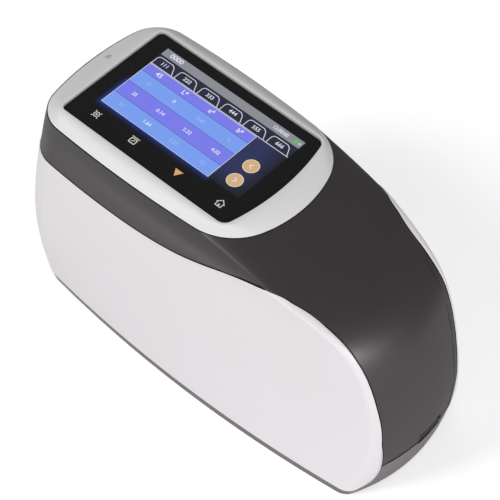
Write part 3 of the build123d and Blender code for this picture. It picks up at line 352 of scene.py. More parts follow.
# %% Finish of each solid
DRESS = {
    SHELL: ["upper_shell"],
    BASE_PAINTED_REFLECTION: ["base_shell"],
    BEZEL: ["bezel"],
    BUTTON: ["measure_button"],
    FRONT_GLASS: ["cover_glass"],
    PIPE: ["light_pipe"],
    WINDOW_GLASS: ["aperture_window"],
    LENS_GLASS: ["tube_lenses"],
    RING_STEEL: ["aperture_ring"],
    SCREW_STEEL: ["chassis_screws", "board_screws", "head_screws", "bridge_screws",
                  "port_screws", "housing_screws"],
    SHEET_METAL: ["chassis", "battery_bridge"],
    BARREL_METAL: ["lamp_tubes", "receiver_tubes"],
    SOCKET_METAL_PAINTED_SHADE: ["usb_socket"],
    RUBBER: ["foot_pads", "glass_gasket"],
    ANODISED: ["measuring_head"],
    MOULDED: ["board_chips", "buzzer", "view_camera", "battery_tray", "power_parts",
              "tact_switch", "switch_plunger", "power_knob"],
    SOCKET_BLACK: ["slide_switch"],
    BOARD: ["main_board", "status_lamp_board", "button_board", "lamp_boards",
            "detector_boards", "power_board", "port_board"],
    CELL: ["battery_cells"],
    RIBBON: ["display_flex"],
    TRAY: ["backlight_tray"],
}
for finish, names in DRESS.items():
    for name in names:
        piece = nodes[name]
        piece.data.materials.clear()
        piece.data.materials.append(finish)
print("dressed", sum(len(names) for names in DRESS.values()), "of", len(nodes))

# %% [markdown]
# ## The plan sections of the housing
# The housing is a stack of plan outlines, each made of tangent arcs: the left end, a
# round corner, the long side, a second round corner at the crease, and the sloping end.
# A few formulas give the arcs at any height. With them a piece can be laid exactly on
# the housing, by its height and by how far round the outline it lies.

# %% Outline of the housing at any height
RIM_Z, BASE_Z = 101.8, 1.0  # rim and underside; these sizes are all in mm
RIM_LEFT_X, RIM_RIGHT_X = -83.4, 24.0
RIM_LEFT_HALF, RIM_END_HALF = 33.1, 32.2  # half widths of the rim at its corners
SPINE_RUN_PER_DROP = 3.86  # slope of the spine just past the bezel
SPINE_END_X, SPINE_END_LEAN = 94.8, 18.7  # the end wall, and its lean back at the rim
SPINE_TURN = 31.3  # softness of the turn between the two
END_PLAN_RADIUS = 66.0
RIM_END_BULGE, BULGE_FADE = 3.0, 6.0  # extra bulge at the rim, and how deep it goes
CREASE_TAPER, TAPER_X, TAPER_SOFT = 0.20, 50.1, 4.5  # narrowing per mm, its start, its ease
FOOT_FLARE = 8.65  # widening of the end corners at the foot
TUCK_START = 0.49  # share of the depth from which the foot draws in
SPINE_TUCK, LEFT_TUCK, SIDE_TUCK = 6.9, 5.1, 4.0  # and how far it draws in
LEFT_LEAN, SIDE_LEAN = 10.5, 3.95  # outward lean
LEFT_BULGE, LEFT_BULGE_LOSS = 4.9, 1.1  # bulge at the rim, and its change to the foot
SIDE_BULGE, SIDE_BULGE_GAIN = 2.15, 3.6
LEFT_CORNER, LEFT_CORNER_LOSS = 15.3, 2.7  # corner radius at the rim, and its change
CREASE_CORNER, CREASE_CORNER_GAIN = 2.5, 4.0
RIM_CORNER, CORNER_FADE = 24.7, 3.75  # right corner at the rim, and how deep it goes
AT_CREASE, AT_END, AT_MIDDLE = 3, 4, 5  # places round the outline, from the left end


def soft_min(a, b, soft):
    return (a + b - math.sqrt((a - b) ** 2 + soft ** 2)) / 2


def arc_through(p, q, sag):
    """Centre and radius of the arc from p to q that bulges to its left."""
    chord = math.dist(p, q)
    radius = (chord ** 2 / 4 + sag ** 2) / (2 * sag)
    nx, ny = -(q[1] - p[1]) / chord, (q[0] - p[0]) / chord
    mx, my = (p[0] + q[0]) / 2, (p[1] + q[1]) / 2
    return (mx + nx * (sag - radius), my + ny * (sag - radius)), radius


def corner_between(first, second, r, near):
    """Round corner of radius r inside two circles, with its two tangent points."""
    (c1, r1), (c2, r2) = first, second
    gap = math.dist(c1, c2)
    along = ((r1 - r) ** 2 - (r2 - r) ** 2 + gap ** 2) / (2 * gap)
    across = math.sqrt(max((r1 - r) ** 2 - along ** 2, 0.0))
    ux, uy = (c2[0] - c1[0]) / gap, (c2[1] - c1[1]) / gap
    options = [(c1[0] + along * ux - k * across * uy, c1[1] + along * uy + k * across * ux)
               for k in (1, -1)]
    centre = min(options, key=lambda c: math.dist(c, near))
    touch = []
    for (cx, cy), radius in (first, second):
        d = math.dist((cx, cy), centre)
        dx, dy = (centre[0] - cx) / d, (centre[1] - cy) / d
        touch.append((cx + dx * radius, cy + dy * radius))
    return centre, touch[0], touch[1]


def section(z, grow):
    """Arcs of the far half outline at height z, each as (centre, start, end)."""
    depth = max(RIM_Z - z, 0.0)
    u = depth / (RIM_Z - BASE_Z)
    ease, ease3 = 1 - (1 - u) ** 2, 1 - (1 - u) ** 3
    tuck = max(0.0, (u - TUCK_START) / (1 - TUCK_START)) ** 2
    slope_x = RIM_RIGHT_X + depth * SPINE_RUN_PER_DROP
    wall_x = SPINE_END_X - SPINE_END_LEAN * (1 - u) ** 2
    rim_x = soft_min(RIM_RIGHT_X, SPINE_END_X - SPINE_END_LEAN, SPINE_TURN)
    reach = soft_min(slope_x, wall_x, SPINE_TURN) + (RIM_RIGHT_X - rim_x) * (1 - u) ** 3
    past = reach - TAPER_X
    past = (past + math.sqrt(past ** 2 + TAPER_SOFT ** 2)) / 2
    end_half = RIM_END_HALF - CREASE_TAPER * past + FOOT_FLARE * tuck
    sag = END_PLAN_RADIUS - math.sqrt(END_PLAN_RADIUS ** 2 - end_half ** 2)
    left_x = RIM_LEFT_X - LEFT_LEAN * ease + LEFT_TUCK * tuck + LEFT_BULGE - LEFT_BULGE_LOSS * u
    left = (left_x, RIM_LEFT_HALF + SIDE_LEAN * ease - SIDE_TUCK * tuck)
    right = (reach - SPINE_TUCK * tuck - sag, end_half)
    end_bulge = sag + RIM_END_BULGE * math.exp(-depth / BULGE_FADE)
    side = arc_through(left, right, SIDE_BULGE + SIDE_BULGE_GAIN * ease3)
    end = arc_through(right, (right[0], -right[1]), end_bulge)
    back = arc_through((left[0], -left[1]), left, LEFT_BULGE - LEFT_BULGE_LOSS * u)
    side, end, back = [(c, r + grow) for c, r in (side, end, back)]
    fade = math.exp(-depth / CORNER_FADE)
    r_end = CREASE_CORNER + CREASE_CORNER_GAIN * u + (RIM_CORNER - CREASE_CORNER) * fade + grow
    r_back = LEFT_CORNER - LEFT_CORNER_LOSS * ease3 + grow
    round_end, a1, a2 = corner_between(side, end, r_end, right)
    round_back, b1, b2 = corner_between(back, side, r_back, left)
    back_mid = (back[0][0] - back[1], 0.0)
    end_mid = (end[0][0] + end[1], 0.0)
    return [(back[0], back_mid, b1), (round_back, b1, b2), (side[0], b2, a1),
            (round_end, a1, a2), (end[0], a2, end_mid)]


def skin(z, s, grow=0.0):
    """Point of the far half at height z; s counts the arcs from the middle of the left end."""
    arcs = section(z, grow)
    i = min(int(s), len(arcs) - 1)
    centre, p, q = arcs[i]
    a = math.atan2(p[1] - centre[1], p[0] - centre[0])
    b = math.atan2(q[1] - centre[1], q[0] - centre[0])
    turn = (b - a + math.pi) % (2 * math.pi) - math.pi
    at = a + turn * (s - i)
    r = math.dist(centre, p)
    return centre[0] + r * math.cos(at), centre[1] + r * math.sin(at)


print("end of the housing at half height:", round(skin(RIM_Z / 2, AT_MIDDLE)[0], 1), "mm")

# %% [markdown]
# ## The white covers
# Each cover is a thin moulding that stands a third of a millimetre off the dark shell.
# Its upper edge sags at the left and climbs to the crease, where the rear edge turns
# down just behind it. The cover is laid out as a grid of points in height and in place
# round the outline, once outside and once inside, and closed along its border. Beside
# it runs the joint, a fine black line, and a strip of shell closes the seat behind it.

# %% Covers with a smooth edge
PROUD, COVER_INSIDE = 0.3, -1.2  # outer and inner face of the cover, in mm off the shell
FOOT_X, FOOT_Z = 77.5, 3.45  # a point of the lower edge
FOOT_RISE = 1.5 / 173.4  # that edge rises by this much per mm to the left
FOOT_LEVEL = 5.0  # the outline is read at this height to place it
TOP_SEARCH = (60.0, 100.0)  # the upper edge lies between these heights
HALVINGS = 24
# Listed: (x, height) along the upper edge, (height, place) down the rear edge.
TOP_EDGE = ((-97.0, 84.4), (-87.5, 81.3), (-76.0, 79.6), (-60.0, 78.7), (-45.0, 78.4),
            (-30.0, 78.5), (-16.0, 79.5), (-4.0, 81.4), (8.0, 84.9), (18.0, 88.8),
            (28.0, 92.3), (38.5, 94.65))
REAR_EDGE = ((3.4, 3.0), (3.7, 3.6), (4.4, 3.92), (6.0, 4.09), (9.0, 4.16), (14.0, 4.17),
             (20.0, 4.13), (28.0, 4.06), (38.0, 3.97), (52.0, 3.90), (66.0, 3.94),
             (78.0, 4.0), (87.0, 4.04), (91.5, 4.03), (93.4, 3.90), (94.3, 3.55), (94.65, 3.0))
JOINT = rough_black("joint_shadow", srgb(13, 12, 13), 0.85, 0.3, 0.01, gloss=0.05)


def through(points, t):
    """Smooth curve through a few points, as a number at t."""
    t = min(max(t, points[0][0]), points[-1][0])
    i = max(k for k in range(len(points) - 1) if points[k][0] <= t)
    (t0, v0), (t1, v1) = points[i], points[i + 1]

    def slope(k):
        k0, k1 = max(k - 1, 0), min(k + 1, len(points) - 1)
        return (points[k1][1] - points[k0][1]) / (points[k1][0] - points[k0][0])

    h = t1 - t0
    w = (t - t0) / h
    return (v0 * (1 + 2 * w) * (1 - w) ** 2 + v1 * w * w * (3 - 2 * w)
            + slope(i) * h * w * (1 - w) ** 2 - slope(i + 1) * h * w * w * (1 - w))


def cover_top(s):
    """Height of the upper edge at a place round the outline, found by halving."""
    low, high = TOP_SEARCH
    for _ in range(HALVINGS):
        middle = (low + high) / 2
        if middle < through(TOP_EDGE, skin(middle, s)[0]):
            low = middle
        else:
            high = middle
    return low


BACK_COLUMNS, ROUND_COLUMNS, SIDE_COLUMNS = 8, 14, 70
ROWS_UP, ROWS_REAR = 90, 14
MIDDLE_GAP = 0.012  # the covers stop this far from the middle of the left end
COLUMNS = [MIDDLE_GAP + (1 - MIDDLE_GAP) * i / BACK_COLUMNS for i in range(BACK_COLUMNS)]
COLUMNS += [1 + i / ROUND_COLUMNS for i in range(ROUND_COLUMNS)]
COLUMNS += [2 + i / SIDE_COLUMNS for i in range(SIDE_COLUMNS + 1)]


def ease_ends(j):
    return (1 - math.cos(math.pi * j / ROWS_UP)) / 2


def cover_places():
    """Grid of (height, place round the outline), column by column."""
    grid = []
    for s in COLUMNS:
        top = cover_top(s)
        foot = FOOT_Z + FOOT_RISE * (FOOT_X - skin(FOOT_LEVEL, s)[0])
        grid.append([(foot + (top - foot) * ease_ends(j), s) for j in range(ROWS_UP + 1)])
    heights = [z for z, s in grid[-1]]
    for k in range(1, ROWS_REAR + 1):
        share = k / ROWS_REAR
        grid.append([(z, AT_CREASE + (through(REAR_EDGE, z) - AT_CREASE) * share) for z in heights])
    return grid


def on_side(z, s, grow, side):
    x, y = skin(z, s, grow)
    return Vector((x, side * y, z)) * MM


def mesh_piece(name, points, faces, finish):
    mesh = bpy.data.meshes.new(name)
    mesh.from_pydata(points, [], faces)
    mesh.materials.append(finish)
    for face in mesh.polygons:
        face.use_smooth = True
    piece = bpy.data.objects.new(name, mesh)
    bpy.context.scene.collection.objects.link(piece)
    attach(piece, "housing")
    return piece


def facing(corners, side):
    """A face's corners in the order that turns it outward on that side."""
    return corners if side < 0 else corners[::-1]


def cover(name, side, grid):
    """Closed moulding: grid outside, the same grid inside, and the border between."""
    wide, tall = len(grid), len(grid[0])
    flat = [place for column in grid for place in column]
    points = [on_side(z, s, grow, side) for grow in (PROUD, COVER_INSIDE) for z, s in flat]
    inner = wide * tall
    faces = []
    for i in range(wide - 1):
        for j in range(tall - 1):
            a, b = i * tall + j, (i + 1) * tall + j
            front = facing([a, b, b + 1, a + 1], side)
            faces.append(front)
            faces.append([v + inner for v in front[::-1]])
    border = [i * tall for i in range(wide)]
    border += [(wide - 1) * tall + j for j in range(1, tall)]
    border += [i * tall + tall - 1 for i in range(wide - 2, -1, -1)]
    border += list(range(tall - 2, 0, -1))
    for a, b in zip(border, border[1:] + border[:1]):
        faces.append(facing([a, a + inner, b + inner, b], side))
    return mesh_piece(name, points, faces, COVER)


def strip(name, rows, side, grow, finish):
    """Surface on the shell between rows of (height, place round the outline)."""
    points = [on_side(z, s, grow, side) for row in rows for z, s in row]
    n = len(rows[0])
    faces = []
    for r in range(len(rows) - 1):
        for i in range(n - 1):
            a, b = r * n + i, (r + 1) * n + i
            faces.append(facing([a, a + 1, b + 1, b], side))
    return mesh_piece(name, points, faces, finish)


def arc_length(z, i):
    centre, p, q = section(z, 0.0)[i]
    radius = math.dist(centre, p)
    return 2 * radius * math.asin(min(math.dist(p, q) / 2 / radius, 1.0))


def along(z, s, reach):
    """The place that lies reach millimetres further round, from the corner onward."""
    corner, end = arc_length(z, AT_CREASE), arc_length(z, AT_END)
    there = (s - AT_CREASE) * corner if s < AT_END else corner + (s - AT_END) * end
    there = max(there + reach, 0.0)
    return AT_CREASE + there / corner if there < corner else AT_END + (there - corner) / end


places = cover_places()
LINE = 0.5  # the black line shows this wide, in mm
LINE_UNDER, SEAT_UNDER = 0.2, 0.3  # lines and strips start this far under the cover
REAR_LINE = (-LINE_UNDER, 0.15, LINE)
STRIP_LIFT, LINE_LIFT = 0.08, 0.11  # height off the shell; lines that cross a strip are higher
SEAT_REACH, SEAT_ROWS = 3.6, 14  # width and rows of the strip of shell behind the edge
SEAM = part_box("base_shell")[1].z / MM
SEAT_PARTS = (("low_", 5.0, SEAM, BASE_PAINTED_REFLECTION), ("", SEAM, 94.5, SHELL))  # word, from, to, finish
top_row = [column[-1] for column in places[:len(COLUMNS)]]
rear = places[-1]
for side, word in ((-1, "near"), (1, "far")):
    made = cover("side_cover_" + word, side, places)
    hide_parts("side_panel_" + word)
    rows = [[(z + rise, s) for z, s in top_row] for rise in (-LINE_UNDER, LINE)]
    strip("joint_top_" + word, rows, side, STRIP_LIFT, JOINT)
    rows = [[(z, along(z, s, reach)) for z, s in rear] for reach in REAR_LINE]
    strip("joint_rear_" + word, rows, side, LINE_LIFT, JOINT)
    for part, low, high, finish in SEAT_PARTS:
        ends = [(z, through(REAR_EDGE, z)) for z in (low, high)]
        edge = [ends[0]] + [(z, s) for z, s in rear if low < z < high] + [ends[1]]
        reaches = [SEAT_REACH * k / SEAT_ROWS - SEAT_UNDER for k in range(SEAT_ROWS + 1)]
        rows = [[(z, along(z, s, reach)) for z, s in edge] for reach in reaches]
        strip("seat_edge_" + part + word, rows, side, STRIP_LIFT, finish)
print("points in a cover:", 2 * len(places) * len(places[0]))

# %% [markdown]
# The seam between the two dark shells is the same kind of fine line, level with the
# floor of the port. It starts at the rear edge of each cover and stops at the port, where
# a flat dark strip on the lower shell is painted shade: it stands for the shadow in a
# shallow sill in front of the socket.

# %% Seam of the shells
PORT_ENDS = {-1: 3.0, 1: 10.6}  # the port starts this far from the middle on each side
SEAM_HALF = 0.36  # half the width of the seam, in mm
SEAM_STEPS, SILL_STEPS = 40, 60
SILL_DROPS = (1.9, 0.9, 0.0)  # rows of the sill, in mm below the seam
SEAM_FROM = through(REAR_EDGE, SEAM)
for side, word in ((-1, "near"), (1, "far")):
    stops = [SEAM_FROM + (AT_MIDDLE - SEAM_FROM) * i / SEAM_STEPS for i in range(SEAM_STEPS + 1)]
    stops = [s for s in stops if skin(SEAM, s)[1] > PORT_ENDS[side]]
    rows = [[(SEAM + rise, s) for s in stops] for rise in (-SEAM_HALF, SEAM_HALF)]
    strip("seam_" + word, rows, side, LINE_LIFT, JOINT)
    sill = [AT_END + i / SILL_STEPS for i in range(SILL_STEPS + 1)]
    sill = [s for s in sill if skin(SEAM, s)[1] <= PORT_ENDS[side]]
    rows = [[(SEAM - drop, s) for s in sill] for drop in SILL_DROPS]
    # The sill strip is painted shade: a near-black sheet where the recess in front of the socket
    # lies in shadow.
    strip("port_sill_painted_shade_" + word, rows, side, STRIP_LIFT, JOINT)
print("seam at", round(SEAM, 1), "mm")

# %% [markdown]
# ## Flat artwork as geometry
# Everything on the screen and on the glass is a thin plate with its own outline, not a
# picture. A flat curve with several closed loops fills itself and leaves its holes open,
# which is the easiest way to draw a ring or a frame. The filled curve is then turned
# into a mesh. Each plate lies at a height in millimetres and is a hundredth thick.

# %% Helpers for thin plates
LAYER = 0.02  # step from one layer to the next, in millimetres


def circle(cx, cy, radius, steps=40):
    return [(cx + radius * math.cos(math.tau * i / steps),
             cy + radius * math.sin(math.tau * i / steps)) for i in range(steps)]


def rectangle(x0, y0, x1, y1):
    return [(x0, y0), (x1, y0), (x1, y1), (x0, y1)]


def rounded(x0, y0, x1, y1, radius, steps=6):
    """Rectangle with round corners."""
    points = []
    corners = ((x1 - radius, y0 + radius, -90), (x1 - radius, y1 - radius, 0),
               (x0 + radius, y1 - radius, 90), (x0 + radius, y0 + radius, 180))
    for cx, cy, start in corners:
        for i in range(steps + 1):
            angle = math.radians(start + 90.0 * i / steps)
            points.append((cx + radius * math.cos(angle), cy + radius * math.sin(angle)))
    return points


def stroke(points, width):
    """A bent line of even width, as one closed loop with mitred corners."""
    left, right_side = [], []
    for i, (x, y) in enumerate(points):
        before = points[max(i - 1, 0)]
        after = points[min(i + 1, len(points) - 1)]
        first = Vector((x - before[0], y - before[1]))
        second = Vector((after[0] - x, after[1] - y))
        first = first.normalized() if first.length > 0 else second.normalized()
        second = second.normalized() if second.length > 0 else first
        middle = (first + second).normalized()
        reach = width / 2 / max(middle.dot(first), 0.4)
        left.append((x - middle.y * reach, y + middle.x * reach))
        right_side.append((x + middle.y * reach, y - middle.x * reach))
    return left + right_side[::-1]


def plate(name, loops, height, finish, thick=LAYER / 2, body="housing"):
    """A thin plate from closed loops of (x, y) in millimetres, riding on a body."""
    curve = bpy.data.curves.new(name, "CURVE")
    curve.dimensions = "2D"
    curve.fill_mode = "BOTH"
    curve.extrude = thick / 2 * MM
    for loop in loops:
        spline = curve.splines.new("POLY")
        spline.points.add(len(loop) - 1)
        for point, (x, y) in zip(spline.points, loop):
            point.co = (x * MM, y * MM, 0.0, 1.0)
        spline.use_cyclic_u = True
    return settle(name, curve, (0.0, 0.0, height), finish, body)


def settle(name, curve, place_mm, finish, body="housing"):
    """Turns a curve or a text into a mesh piece at a place."""
    holder = bpy.data.objects.new(name + "_curve", curve)
    bpy.context.scene.collection.objects.link(holder)
    mesh = bpy.data.meshes.new_from_object(holder)
    bpy.data.objects.remove(holder)
    mesh.transform(Matrix.Translation(Vector(place_mm) * MM))
    mesh.materials.clear()
    mesh.materials.append(finish)
    piece = bpy.data.objects.new(name, mesh)
    bpy.context.scene.collection.objects.link(piece)
    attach(piece, body)
    return piece


# %% [markdown]
# ## The lit picture
# A display makes its own light, so its colours are emission, and the black under them
# only takes the room's reflection. Each colour is broken up by the fine grid of pixels,
# a fifth of a millimetre apart, which is what a real screen shows close up.

# %% Screen finishes
PIXEL = 0.22  # millimetres


def lit(name, r, g, b):
    """Screen colour, a little darker between the pixels."""
    finish = Finish("screen_" + name, Roughness=0.25, Base_Color=(0.01, 0.01, 0.012))
    x, y, z = finish.axes()
    step = math.tau / PIXEL
    grid = ((x * step).wave().highest((y * step).wave())) * 0.06 + 0.94
    finish.set("Emission Color", finish.mix(grid, (0.0, 0.0, 0.0), srgb(r, g, b)))
    finish.set("Emission Strength", 1.0)
    return finish.material


NAVY = lit("navy", 34, 42, 80)
NAVY_DEEP = lit("navy_deep", 20, 27, 52)
STRIPE_VIOLET = lit("violet", 126, 128, 247)
STRIPE_BLUE = lit("blue", 126, 166, 254)
BAR_GREY = lit("bar", 146, 146, 156)
FIGURES = lit("figures", 232, 238, 255)
FIGURES_SOFT = lit("figures_soft", 160, 190, 252)
OUTLINE = lit("outline", 225, 228, 240)
GOLD = lit("gold", 222, 184, 134)
GOLD_RIM = lit("gold_rim", 244, 226, 196)
GREEN = lit("green", 86, 208, 84)
print("pixel pitch of the screen:", PIXEL, "mm")

# %% [markdown]
# The layout is read from the photograph in millimetres on the glass: a grey bar along
# the far edge, a row of six tabs under it, a table of four stripes, and two round gold
# buttons at the right. The picture lies between one and two millimetres under the top of
# the glass, so it is shifted by what the slant of the view makes of that depth.

# %% Where things lie on the screen
LCD_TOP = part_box("lcd_panel")[1].z * 1000.0
GLASS_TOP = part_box("cover_glass")[1].z * 1000.0
DEPTH = GLASS_TOP - LCD_TOP
SHIFT_X = -back.x / back.z * DEPTH
SHIFT_Y = -back.y / back.z * DEPTH
SCREEN_X = (-63.1, 7.9)
SCREEN_Y = (-14.6, 21.9)
BAR_Y = 18.0
TAB_LINE_Y = 12.2
TAB_TOP_Y = 16.8
TAB_PITCH = 11.85
TABLE_X = (-62.7, -7.5)
STRIPES_Y = (11.8, 7.2, 0.0, -7.5, -14.5)
TABLE_TOP_Y, TABLE_FOOT_Y = STRIPES_Y[0], STRIPES_Y[-1]
COLUMNS_X = (-55.7, -42.2, -28.3, -13.8)
BUTTONS = ((0.8, -0.1), (0.9, -9.0))
BUTTON_R = 3.3
FADE = 9.0  # the ground sinks to black over this width, in mm
BAR_LEVEL, STRIPE_LEVEL, LINE_LEVEL, TEXT_LEVEL, PRINT_LEVEL, KEY_LEVEL = 2, 3, 4, 5, 6, 8


def on_screen(loops):
    return [[(x + SHIFT_X, y + SHIFT_Y) for x, y in loop] for loop in loops]


def lay(name, loops, level, finish):
    """A plate on the screen, some layers above the display panel."""
    return plate(name, on_screen(loops), LCD_TOP + LAYER * level, finish)


def fading_navy():
    """Navy that sinks to black at the right edge and the near edge of the picture."""
    finish = Finish("screen_ground", Roughness=0.25, Base_Color=(0.004, 0.004, 0.005))
    x, y, z = finish.axes()
    from_right = ((SCREEN_X[1] + SHIFT_X - x) / FADE).highest(0.0).lowest(1.0)
    from_near = ((y - SHIFT_Y - SCREEN_Y[0]) / FADE).highest(0.0).lowest(1.0)
    level = (from_right * from_near) ** 0.8
    cloud = finish.grain(6.0) * 0.2 + 0.9
    finish.set("Emission Color", finish.mix(level * cloud, srgb(8, 9, 16), srgb(38, 46, 90)))
    finish.set("Emission Strength", 1.0)
    return finish.material


def across(low, high):
    """A rectangle over the whole width of the picture."""
    return [rectangle(SCREEN_X[0], low, SCREEN_X[1], high)]


GROUND = fading_navy()
lay("screen_ground", across(*SCREEN_Y), 1, GROUND)
lay("status_bar", across(BAR_Y, SCREEN_Y[1]), BAR_LEVEL, BAR_GREY)
lay("tab_strip", across(TAB_LINE_Y, BAR_Y), BAR_LEVEL, NAVY_DEEP)
print("picture in mm:", [round(high - low, 1) for low, high in (SCREEN_X, SCREEN_Y)])

# %% [markdown]
# Each tab is a trapezoid with a round left shoulder and a slanting right side. It is
# drawn once as a line of even width and repeated six times at the same pitch.

# %% Tabs and table
def tab(left):
    top, foot = TAB_TOP_Y, TAB_LINE_Y + 0.2
    line = [(left, foot), (left, top - 1.2), (left + 0.5, top - 0.3), (left + 1.4, top),
            (left + 7.2, top), (left + 8.6, top - 0.9), (left + 10.4, foot)]
    return stroke(line, 0.32)


TABS = 6
TAB_FROM = SCREEN_X[0] + 0.5
RULE_HALF = 0.07  # half the width of a rule between stripes
for i in range(TABS):
    lay(f"tab_outline_{i + 1}", [tab(TAB_FROM + TAB_PITCH * i)], STRIPE_LEVEL, OUTLINE)
lay("tab_line", across(TAB_LINE_Y - 0.15, TAB_LINE_Y + 0.15), LINE_LEVEL, OUTLINE)

stripes = list(zip(STRIPES_Y[1:], STRIPES_Y))
for i, (low, high) in enumerate(stripes):
    stripe = [rectangle(TABLE_X[0], low, TABLE_X[1], high)]
    lay(f"table_stripe_{i + 1}", stripe, STRIPE_LEVEL, (STRIPE_VIOLET, STRIPE_BLUE)[i % 2])
edge = [rectangle(TABLE_X[0] - 0.12, TABLE_FOOT_Y - 0.12, TABLE_X[1] + 0.12, TABLE_TOP_Y + 0.1),
        rectangle(TABLE_X[0] + 0.1, TABLE_FOOT_Y + 0.1, TABLE_X[1] - 0.1, TABLE_TOP_Y - 0.1)]
lay("table_edge", edge, LINE_LEVEL, OUTLINE)
for i, y in enumerate(STRIPES_Y[1:-1]):
    rule = rectangle(TABLE_X[0], y - RULE_HALF, TABLE_X[1], y + RULE_HALF)
    lay(f"table_rule_{i + 1}", [rule], LINE_LEVEL, NAVY)
print("table stripes:", len(stripes), "tabs:", TABS)

# %% [markdown]
# Figures are text objects in the built-in typeface, turned into meshes. Only plain
# numbers and the letters of the three colour axes are written, each centred on a point.

# %% Figures on the screen
def figures(name, words, x, y, size, finish):
    text = bpy.data.curves.new(name, "FONT")
    text.body = words
    text.size = size * MM
    text.align_x = "CENTER"
    text.align_y = "CENTER"
    text.extrude = LAYER / 4 * MM
    text.offset = 0.02 * size * MM
    text.resolution_u = 3
    place = (x + SHIFT_X, y + SHIFT_Y, LCD_TOP + LAYER * TEXT_LEVEL)
    return settle(name, text, place, finish)


HEADINGS = ("45", "L*", "a*", "b*")
ROWS = (("15", "0", "0.42", "6"), ("25", "0.14", "2.22", "4.02"), ("75", "1.64", "0.33", "12"))
HEADING_Y, HEADING_SIZE = 9.5, 3.1
NUMBER_Y, NUMBER_SIZE = 14.6, 2.5
NUMBER_X = SCREEN_X[0] + 5.4
VALUE_SIZE, BAR_SIZE, CLOCK_SIZE = 2.3, 3.2, 2.2
for c, words in enumerate(HEADINGS):
    figures(f"heading_{c + 1}", words, COLUMNS_X[c], HEADING_Y, HEADING_SIZE, FIGURES)
for r, row in enumerate(ROWS):
    y = (STRIPES_Y[r + 1] + STRIPES_Y[r + 2]) / 2
    for c, words in enumerate(row):
        finish = FIGURES if r == 1 or c == 1 else FIGURES_SOFT
        figures(f"value_{r + 1}_{c + 1}", words, COLUMNS_X[c], y, VALUE_SIZE, finish)
for i in range(TABS):
    x = NUMBER_X + TAB_PITCH * i
    figures(f"tab_number_{i + 1}", str(i + 1) * 3, x, NUMBER_Y, NUMBER_SIZE, OUTLINE)
figures("bar_number", "0000", -56.5, 20.0, BAR_SIZE, FIGURES)
figures("bar_clock", "12:00:00", -2.8, 19.9, CLOCK_SIZE, FIGURES)
lay("battery_light", [circle(4.9, 19.9, 0.9)], TEXT_LEVEL, GREEN)
battery = [rectangle(6.2, 19.4, 7.1, 20.4), rectangle(6.4, 19.6, 6.9, 20.2)]
lay("battery_mark", battery, TEXT_LEVEL, FIGURES)
print("figures written:", len(HEADINGS) + sum(len(row) for row in ROWS) + TABS + 2)

# %% [markdown]
# The two gold buttons on the screen are discs with a paler rim and a chevron.

# %% Round buttons on the screen
for i, ((cx, cy), sign) in enumerate(zip(BUTTONS, (-1, 1))):
    lay(f"gold_disc_{i + 1}", [circle(cx, cy, BUTTON_R - 0.25)], STRIPE_LEVEL, GOLD)
    rim = [circle(cx, cy, BUTTON_R), circle(cx, cy, BUTTON_R - 0.3)]
    lay(f"gold_rim_{i + 1}", rim, LINE_LEVEL, GOLD_RIM)
    arrow = [(cx - sign * 0.6, cy + 1.1), (cx + sign * 0.6, cy), (cx - sign * 0.6, cy - 1.1)]
    lay(f"gold_arrow_{i + 1}", [stroke(arrow, 0.42)], TEXT_LEVEL, FIGURES)
print("gold buttons:", len(BUTTONS))

# %% [markdown]
# ## The black print behind the glass
# The frame of the glass is a black print with an opening for the picture. It follows
# the outline of the glass: three nearly straight sides and a round right side. Round the
# opening the backlight leaks into the print, so its emission falls off with the distance
# to the picture, which is worked out from the point's place.

# %% Printed border
def border_finish():
    finish = Finish("border_print", Roughness=0.30, Specular_IOR_Level=0.12)
    grain = finish.grain(0.3)
    finish.set("Base Color", finish.mix(grain, srgb(22, 22, 22), srgb(26, 26, 26)))
    x, y, z = finish.axes()
    middle_x = (SCREEN_X[0] + TABLE_X[1]) / 2
    middle_y = (TABLE_FOOT_Y + SCREEN_Y[1]) / 2
    out_x = (abs(x - SHIFT_X - middle_x) - (TABLE_X[1] - SCREEN_X[0]) / 2).highest(0.0)
    out_y = (abs(y - SHIFT_Y - middle_y) - (SCREEN_Y[1] - TABLE_FOOT_Y) / 2).highest(0.0)
    away = (out_x * out_x * 2.0 + out_y * out_y) ** 0.5
    near_side = (middle_y - y).highest(0.0).lowest(6.0) / 6.0
    glow = (1.0 - away / GLOW_REACH).highest(0.0) ** 2.2 * near_side
    finish.set("Emission Color", finish.mix(glow, (0.0, 0.0, 0.0), srgb(22, 52, 132)))
    finish.set("Emission Strength", 1.0)
    return finish.material


GLOW_REACH = 3.4  # the backlight shows this far out in the print, in mm
PRINT_INSET = 0.25  # the print stops this far inside the edge of the glass
GLASS_LOW, GLASS_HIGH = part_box("cover_glass")
GLASS = {"left": GLASS_LOW.x / MM, "right": GLASS_HIGH.x / MM, "bulge": 3.9,
         "half": GLASS_HIGH.y / MM, "r_left": 2.4, "r_right": 4.0}


def arc(cx, cy, radius, start, end, steps):
    out = []
    for i in range(steps + 1):
        angle = math.radians(start + (end - start) * i / steps)
        out.append((cx + radius * math.cos(angle), cy + radius * math.sin(angle)))
    return out


def glass_outline(inset):
    """Outline of the glass, drawn in by inset, all in millimetres."""
    left, half = GLASS["left"] + inset, GLASS["half"] - inset
    bulge = GLASS["bulge"]
    radius = (GLASS["half"] ** 2 + bulge ** 2) / (2 * bulge)
    centre = GLASS["right"] - radius
    big = radius - inset
    small = GLASS["r_right"] - inset
    cy = half - small
    cx = centre + math.sqrt((big - small) ** 2 - cy ** 2)
    swing = math.degrees(math.atan2(cy, cx - centre))
    r = GLASS["r_left"] - inset
    points = arc(left + r, -half + r, r, 180, 270, 6)
    points += arc(cx, -cy, small, -90, -swing, 8)
    points += arc(centre, 0.0, big, -swing, swing, 24)[1:-1]
    points += arc(cx, cy, small, swing, 90, 8)
    points += arc(left + r, half - r, r, 90, 180, 6)
    return points


